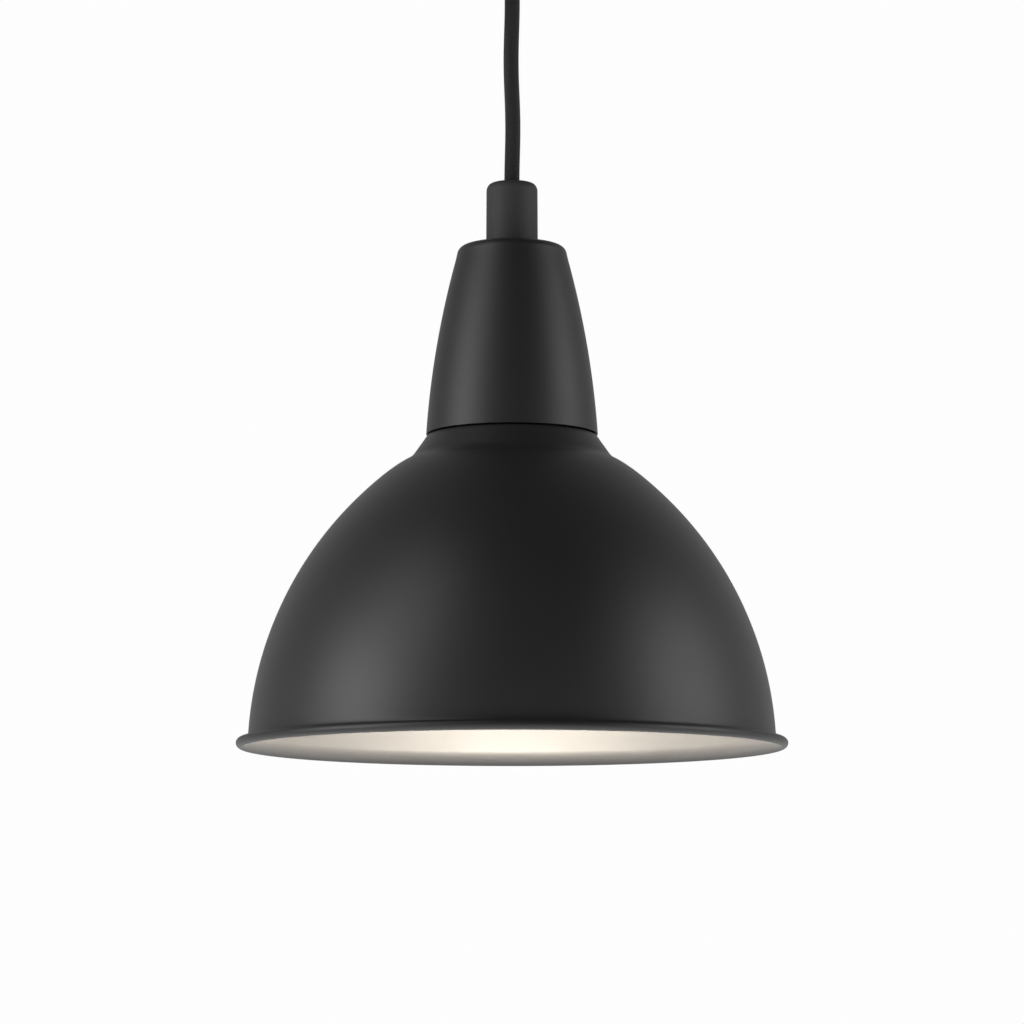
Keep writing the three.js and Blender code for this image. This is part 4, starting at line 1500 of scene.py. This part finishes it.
@dataclass
class Lampholder:
    """The two-part plastic lampholder with its ceramic core, contacts and wires."""

    shop: Workshop
    thread_pitch: float = 3.629
    terminal_radius: float = 10.0

    def build(self) -> None:
        """Makes each piece of the holder."""
        self._skirt()
        self._dome()
        self._core()
        self._contacts()
        leads = ((-1, "front", "blue_wire", BLUE_PVC), (1, "back", "brown_wire", BROWN_PVC))
        for side, word, slot, finish in leads:
            screw = slotted_screw(self.shop, f"holder_terminal_{word}", 0, side * self.terminal_radius,
                                  149, 156.2, 1.5, 2.6)
            self.shop.fit(screw, Body.PENDANT, f"holder_screw_{word}", "zinc", ZINC)
            route = [(1.4, 165.6), (1.6, 163), (3.2, 159.5), (5, 157), (6.4, 155.8)]
            wire = self.shop.wire(f"holder_lead_{word}", [(0, side * y, z) for y, z in route], 0.95)
            self.shop.fit(wire, Body.PENDANT, f"holder_wire_{word}", slot, finish)

    def _skirt(self) -> None:
        """Moulds the skirt with its coarse thread and its notched flange."""
        radius, bore, low, flange, top = 19.9, 16.4, 106.0, 121.9, 152.0
        outline = [(bore, low), (radius, low), (radius, flange), (24, flange), (24, flange + 2.4),
                   (radius, flange + 2.4), (radius, top), (bore, top)]
        fine = stepped(eased(outline, 0.5), 0.5)
        thread = Thread(radius, 4.0, 0.8, low + 0.8, flange - 1.0)
        notches = Ribs(radius=24, count=36, depth=0.5)

        def shape(angle: float, far: float, height: float) -> Point:
            """Threads the lower wall and notches the flange."""
            return notches(angle, far, height) if far > radius + 1 else thread(angle, far, height)

        piece = self.shop.turn("holder_lower_shell", fine, 144, shape)
        self.shop.fit(piece, Body.PENDANT, "holder_skirt", "black_plastic", BLACK_PLASTIC)

    def _dome(self) -> None:
        """Moulds the upper shell with grip ribs round its lip."""
        lip, bore = 20.25, 5.2
        outline = [(lip, 146), (lip + 2.2, 146), (lip + 2.2, 157),
                   *bend((lip + 2, 158.5), (lip + 1, 167), (9, 169.5), 12),
                   (8.5, 177), (bore, 177), (bore, 167.5),
                   *bend((8, 167), (lip - 1.5, 164.5), (lip, 156.5), 12)]
        ribs = Ribs(radius=lip + 2.2, count=48, depth=0.45)
        piece = self.shop.turn("holder_upper_shell", stepped(eased(outline, 0.4), 1.2), 240, ribs)
        self.shop.fit(piece, Body.PENDANT, "holder_dome", "black_plastic", BLACK_PLASTIC)

    def _core(self) -> None:
        """Presses the ceramic core and its holes."""
        low, high, radius = 140.1, 154.0, 16.0
        outline = [(0, low), (radius, low), (radius, high), (0, high)]
        core = self.shop.turn("holder_ceramic", eased(outline, 0.6), 96)
        holes = ((0, 0, low - 1, 2.0), (10.5, 0, low - 1, 1.6), (0, -self.terminal_radius, 148, 1.9),
                 (0, self.terminal_radius, 148, 1.9))
        tools = [self.shop.rod("drill", (x, y, start), (x, y, high + 1),
                               [(0, 0), (r, 0), (r, high + 1 - start), (0, high + 1 - start)])
                 for x, y, start, r in holes]
        self.shop.fit(self.shop.carve(core, tools), Body.PENDANT, "holder_core", "ceramic", CERAMIC)

    def _contacts(self) -> None:
        """Rolls the threaded shell and bends the two contacts."""
        inner, wall, low, top = 13.45, 0.5, 115.0, 139.05
        outline = [(inner, low), (inner + wall, low), (inner + wall, top), (7.5, top), (7.5, top - 0.6),
                   (inner, top - 0.6)]
        fine = stepped(eased(outline, 0.15, 2), 0.35)
        thread = Thread(inner + wall, self.thread_pitch, -0.45, low + 0.6, top - 1.5, wall)
        piece = self.shop.turn("threaded_shell", fine, 144, thread)
        self.shop.fit(piece, Body.PENDANT, "screw_shell", "brass", BRASS)
        leaf = self.shop.slab("leaf", (-6, -2, 138.3), (6, 2, 138.9), 0.15)
        stalk = self.shop.turn("stalk", eased([(0, 138.6), (1.6, 138.6), (1.6, 155.2), (0, 155.2)], 0.3), 40)
        contact = self.shop.carve(leaf, [stalk], "UNION")
        contact.name = "centre_spring"
        self.shop.fit(contact, Body.PENDANT, "centre_contact", "brass", BRASS)
        strap = self.shop.slab("side_spring", (8, -2.4, 139.35), (13, 2.4, 139.8), 0.12)
        rivet = self.shop.rod("rivet", (10.5, 0, 139.5), (10.5, 0, 155.2),
                              eased([(0, 0), (1.25, 0), (1.25, 15.7), (0, 15.7)], 0.25))
        self.shop.fit(self.shop.carve(strap, [rivet], "UNION"), Body.PENDANT, "side_contact", "brass", BRASS)


@dataclass
class Shade:
    """The spun dome, white inside, with the washer and the ring that clamp it."""

    shop: Workshop
    arc_radius: float = 141.0
    arc_axis: float = -37.9
    arc_height: float = -4.5
    wall_end: float = 4.4
    kink: Point = (39.65, 112.45)
    pull: Point = (47.7, 108.9)
    join: float = 97.0
    neck: float = 33.3
    plate: float = 121.6
    hole: float = 20.3
    bead_centre: float = 105.7
    bead: float = 1.95
    sheet: float = 1.0

    def radius_at(self, height: float) -> float:
        """The outside radius of the dome at one height."""
        return self.arc_axis + math.sqrt(self.arc_radius**2 - (height - self.arc_height) ** 2)

    def build(self) -> None:
        """Makes the dome, the washer and the ring."""
        self._dome()
        washer = eased(collar(self.hole + 0.4, 28.5, 119.4, 120.3), 0.25)
        piece = self.shop.turn("shade_rubber_washer", washer, 96)
        self.shop.fit(piece, Body.SHADE, "shade_washer", "rubber", RUBBER)
        self._ring()

    def _skin(self) -> list[Point]:
        """The outside, from the neck down to where the rim starts.

        Returns:
            The points of its outline.
        """
        start = (self.neck + 0.2, self.plate - 0.4)
        cone = [tuple(a + (b - a) * i / 10 for a, b in zip(start, self.kink)) for i in range(9)]
        top = bend(self.kink, self.pull, (self.radius_at(self.join), self.join), 20)[2:]
        valley = bend(cone[-1], self.kink, top[0], 6)[1:-1]
        steps = 60
        heights = [self.join + (self.wall_end - self.join) * i / steps for i in range(1, steps + 1)]
        return [*cone, *valley, *top, *((self.radius_at(h), h) for h in heights)]

    def _dome(self) -> None:
        """Spins the dome and rolls its rim outwards into a bead."""
        skin = self._skin()
        last = skin[-1]
        roll = arc((self.bead_centre, 0), (self.bead, self.bead), 128, -90, 30)
        groove = bend(last, (last[0] + 0.3, 1.2), roll[0], 8)[1:-1]
        lining = inset(skin, self.sheet)[1:]
        end = lining[-1]
        flare = bend(roll[-1], (end[0], 0), end, 14)[1:-1]
        under = self.plate - self.sheet
        black = [(self.hole, self.plate), (self.neck - 0.4, self.plate), *skin, *groove, *roll]
        white = [*flare, *lining[::-1], (self.neck - self.sheet + 0.6, under), (self.hole, under)]
        painted = len(black) - 1
        outline = [*black, *white]
        piece = self.shop.turn("shade_dome", outline, 288, inside=lambda j: j >= painted, crease=40.0)
        self.shop.fit(piece, Body.SHADE, "shade", "shade_paint", BLACK_PAINT, LACQUER)

    def _ring(self) -> None:
        """Moulds the ribbed ring that screws up under the shade."""
        inner, outer, low, top = 20.2, 27.2, 111.6, 119.1
        outline = [(inner, low), (outer, low), (outer, top), (inner, top)]
        fine = stepped(eased(outline, 0.7), 0.45)
        thread = Thread(inner, 4.0, -0.6, low + 0.5, top - 0.5)
        ribs = Ribs(radius=outer, count=16, depth=1.4)

        def shape(angle: float, far: float, height: float) -> Point:
            """Ribs the outside and threads the bore."""
            return ribs(angle, far, height) if far > 24 else thread(angle, far, height)

        piece = self.shop.turn("clamping_ring", fine, 192, shape)
        self.shop.fit(piece, Body.RING, "shade_ring", "black_plastic", BLACK_PLASTIC)


@dataclass
class FilamentLamp:
    """The globe lamp with its screw base, glass stem and four lit sticks, and the light it gives."""

    shop: Workshop
    tip: float = 138.0
    globe: float = 30.0
    centre: float = 63.0
    neck: float = 11.9
    glass: float = 0.9
    pitch: float = 3.629
    sticks: int = 4
    power: float = 12.5
    warmth: Colour = (1.0, 0.91, 0.78)
    stick_top: float = 91.0
    stick_low: float = 58.0
    stick_top_radius: float = 7.5
    stick_low_radius: float = 10.5
    wire_radius: float = 0.22

    def build(self) -> None:
        """Makes the lamp from its contact down to its globe."""
        self._base()
        self._globe()
        self._stem()
        for i in range(self.sticks):
            self._stick(i)
        self._wires()
        self._light()

    def _base(self) -> None:
        """Rolls the threaded base and makes the black insulator and the tip."""
        outer, wall, low = 13.1, 0.8, self.tip - 26
        outline = [(outer - wall, low), (outer, low), (outer, 131.2), (11.6, 132.2), (11, 132.2), (11, 131.6),
                   (outer - wall, 130.6)]
        fine = stepped(eased(outline, 0.25), 0.3)
        thread = Thread(outer, self.pitch, 0.7, low + 6.5, 130.4, wall)
        piece = self.shop.turn("lamp_screw_base", fine, 144, thread)
        self.shop.fit(piece, Body.LAMP, "bulb_base", "nickel", NICKEL)
        slope = bend((10.4, 133), (7.5, 135), (5.2, 136), 8)
        skirt = [(0, 131.8), (10.7, 131.8), (10.7, 132.6), *slope, (0, 136)]
        piece = self.shop.turn("lamp_insulator", eased(skirt, 0.3), 72)
        self.shop.fit(piece, Body.LAMP_TIP, "bulb_insulator", "black_glass", VITRITE)
        tip = [(0, 136.3), (4.6, 136.3), (4.6, 137.2), *bend((4.3, 137.5), (2.6, self.tip), (0, self.tip), 8)]
        piece = self.shop.turn("lamp_tip_contact", eased(tip, 0.2), 56)
        self.shop.fit(piece, Body.LAMP_TIP, "bulb_contact", "nickel", NICKEL)

    def _wall(self, shrink: float) -> list[Point]:
        """One side of the glass, from the neck's end to the bottom of the globe.

        Args:
            shrink: How far it is inside the outer side, in millimetres.

        Returns:
            The points of its outline.
        """
        radius, turn = self.globe - shrink, math.radians(40)
        join = (radius * math.cos(turn), self.centre + radius * math.sin(turn))
        pull = (join[0] - 9, join[1] + 10.7)
        throat = sweep((self.neck - shrink, 112), (12.1 - shrink, 103), pull, join, 20)
        bowl = arc((0, self.centre), (radius, radius), 40, -90, 40)[1:-1]
        return [(self.neck - shrink, 118), *throat, *bowl, (0, self.centre - radius)]

    def _globe(self) -> None:
        """Blows the globe as an open wall of glass."""
        piece = self.shop.turn("lamp_globe", [*self._wall(0)[::-1], *self._wall(self.glass)], 128)
        piece.visible_shadow = False
        self.shop.fit(piece, Body.LAMP, "bulb_envelope", "bulb_glass", GLASS)

    def _stem(self) -> None:
        """Presses the glass stem."""
        outline = [(0, 114), (9.4, 114), *bend((9.4, 112.5), (5.2, 108), (3.6, 99), 10), (3.2, 93),
                   *bend((3.0, 92.2), (1.6, 92), (1.4, 90), 5), (1.4, 59),
                   *arc((0, 58.9), (1.4, 1.4), 0, -90, 6)[1:]]
        outline[-1] = (0.0, outline[-1][1])
        piece = self.shop.turn("lamp_stem", outline, 64)
        piece.visible_shadow = False
        self.shop.fit(piece, Body.LAMP, "bulb_stem", "bulb_glass", GLASS)

    def _ends(self, i: int) -> tuple[Spot, Spot]:
        """The upper and lower end of one stick.

        Args:
            i: The stick's number.

        Returns:
            Both ends.
        """
        angle = TURN * (i + 0.5) / self.sticks
        x, y = math.cos(angle), math.sin(angle)
        upper = (self.stick_top_radius * x, self.stick_top_radius * y, self.stick_top)
        return upper, (self.stick_low_radius * x, self.stick_low_radius * y, self.stick_low)

    def _stick(self, i: int) -> None:
        """Makes one lit stick, with round ends.

        Args:
            i: The stick's number.
        """
        upper, lower = self._ends(i)
        length = math.dist(upper, lower)
        outline = [(0, 0), *arc((0.3, 0.6), (0.6, 0.6), -90, 0, 5), (0.9, length - 0.6),
                   *arc((0.3, length - 0.6), (0.6, 0.6), 0, 90, 5)[1:], (0, length)]
        piece = self.shop.rod(f"lit_stick_{i + 1}", upper, lower, outline, 24)
        piece.visible_shadow = False
        self.shop.fit(piece, Body.LAMP, f"filament_{i + 1}", "filament", PHOSPHOR)

    def _wires(self) -> None:
        """Bends the thin wires that hold the sticks on the stem, as one piece."""
        parts = []
        for i in range(self.sticks):
            upper, lower = self._ends(i)
            for name, (x, y, z), root in (("upper", upper, 94.5), ("lower", lower, 60.5)):
                lift = 1.6 if name == "upper" else -1.4
                route = [(0.05 * x, 0.05 * y, root), (0.45 * x, 0.45 * y, root + 0.6 * lift),
                         (x, y, z + 0.4 * lift)]
                parts.append(self.shop.wire(f"{name}_wire_{i}", route, self.wire_radius, 12))
        piece = self.shop.merge("stick_wires", parts)
        piece.data.materials.append(NICKEL.material())
        piece.visible_shadow = False
        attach(piece, Body.LAMP.value)
        log.info("%s: %d faces on %s", piece.name, len(piece.data.polygons), Body.LAMP.value)

    def _light(self) -> None:
        """Puts the lamp's own light in the globe."""
        light = bpy.data.lights.new("lamp_light", "POINT")
        light.energy = self.power
        light.color = self.warmth
        light.shadow_soft_size = 0.6 * self.globe * MM
        holder = bpy.data.objects.new("lamp_light", light)
        holder.location = self.shop.spot(0, 0, self.centre)
        bpy.context.scene.collection.objects.link(holder)
        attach(holder, Body.LAMP.value)


# ---- Studio -------------------------------------------------------------------------------------
@dataclass(frozen=True)
class SoftBox:
    """A square soft light that faces the lamp, turned and raised in degrees from the viewer's side."""

    name: str
    turn: float
    rise: float
    power: float
    distance: float = 1.7
    side: float = 0.6

    def build(self, middle: Vector) -> None:
        """Hangs the light.

        Args:
            middle: The point that it faces.
        """
        light = bpy.data.lights.new(self.name, "AREA")
        light.shape = "SQUARE"
        light.size = self.side
        light.energy = self.power
        turn, rise = math.radians(self.turn), math.radians(self.rise)
        way = Vector((math.sin(turn) * math.cos(rise), -math.cos(turn) * math.cos(rise), math.sin(rise)))
        holder = bpy.data.objects.new(self.name, light)
        holder.location = middle + self.distance * way
        holder.rotation_euler = (-way).to_track_quat("-Z", "Y").to_euler()
        holder.visible_camera = False
        bpy.context.scene.collection.objects.link(holder)


@dataclass
class Studio:
    """The camera, the pale floor, the white surround and the soft lights."""

    rim_plane: float
    distance: float = 1.6
    below: float = 0.1091
    tilt: float = 7.14
    lens: float = 144.18
    floor_drop: float = 0.85
    floor_reach: float = 60.0
    surround: float = 0.985
    wall: float = 0.6

    def camera(self) -> None:
        """Sets the camera below the rim, looking a little upwards."""
        data = bpy.data.cameras.new("viewpoint")
        data.lens = self.lens
        data.sensor_width = 36.0
        data.clip_start = 0.05
        data.clip_end = 50.0
        viewpoint = bpy.data.objects.new("viewpoint", data)
        viewpoint.location = (0.0, -self.distance, self.rim_plane - self.below)
        viewpoint.rotation_euler = (math.radians(90 + self.tilt), 0.0, 0.0)
        bpy.context.scene.collection.objects.link(viewpoint)
        bpy.context.scene.camera = viewpoint

    def build(self) -> None:
        """Lays the floor and lights the room."""
        self._floor()
        self._surround()
        middle = Vector((0.0, 0.0, self.rim_plane + 0.06))
        for box in (
            SoftBox("left_bank", -70, 12, 15.0, side=0.9),
            SoftBox("right_bank", 80, 15, 13.0, side=1.1),
            SoftBox("high_left", -55, 40, 5.0, side=0.8),
            SoftBox("from_below", 0, -90, 8.0, distance=0.84, side=2.0),
        ):
            box.build(middle)
        bpy.context.scene.view_settings.view_transform = "Standard"

    def _floor(self) -> None:
        """Lays a wide floor well below the lamp."""
        mesh = bmesh.new()
        bmesh.ops.create_grid(mesh, x_segments=8, y_segments=8, size=self.floor_reach)
        data = bpy.data.meshes.new("studio_floor")
        mesh.to_mesh(data)
        mesh.free()
        data.materials.append(FLOOR.material())
        floor = bpy.data.objects.new("studio_floor", data)
        floor.location = (0.0, 0.0, self.rim_plane - self.floor_drop)
        bpy.context.scene.collection.objects.link(floor)

    def _surround(self) -> None:
        """Fills the surround: white to look at, with a bright wall behind the lamp."""
        world = bpy.data.worlds.new("surround")
        world.use_nodes = True
        bpy.context.scene.world = world
        graph = Graph(world)
        way = graph.add("ShaderNodeTexCoord").outputs["Generated"]
        split = graph.add("ShaderNodeSeparateXYZ", inputs={0: way})
        glow = self.wall * Value(graph, split.outputs[1]).between(0.0, 0.95)
        dim = graph.add("ShaderNodeBackground", inputs={"Color": (1, 1, 1, 1), "Strength": glow})
        shown = graph.add("ShaderNodeBackground",
                          inputs={"Color": (self.surround,) * 3 + (1.0,), "Strength": 1.0})
        path = graph.add("ShaderNodeLightPath")
        mixed = graph.add("ShaderNodeMixShader", inputs={0: path.outputs["Is Camera Ray"], 1: dim.outputs[0],
                                                         2: shown.outputs[0]})
        graph.add("ShaderNodeOutputWorld", inputs={"Surface": mixed.outputs[0]})


def main() -> None:
    """Builds the lamp round its frame and lights it."""
    logging.basicConfig(level=logging.INFO, format="%(message)s")
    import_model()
    shop = Workshop(rim_plane=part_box("shade")[0].z + Shade.bead * MM)
    studio = Studio(shop.rim_plane)
    studio.camera()
    PendantCord(shop).build()
    for part in (CeilingBracket, Canopy, CordGland, Terminals, CordGrip, CentreTube, Cap, Lampholder, Shade,
                 FilamentLamp):
        part(shop).build()
    studio.build()


if __name__ == "__main__":
    main()
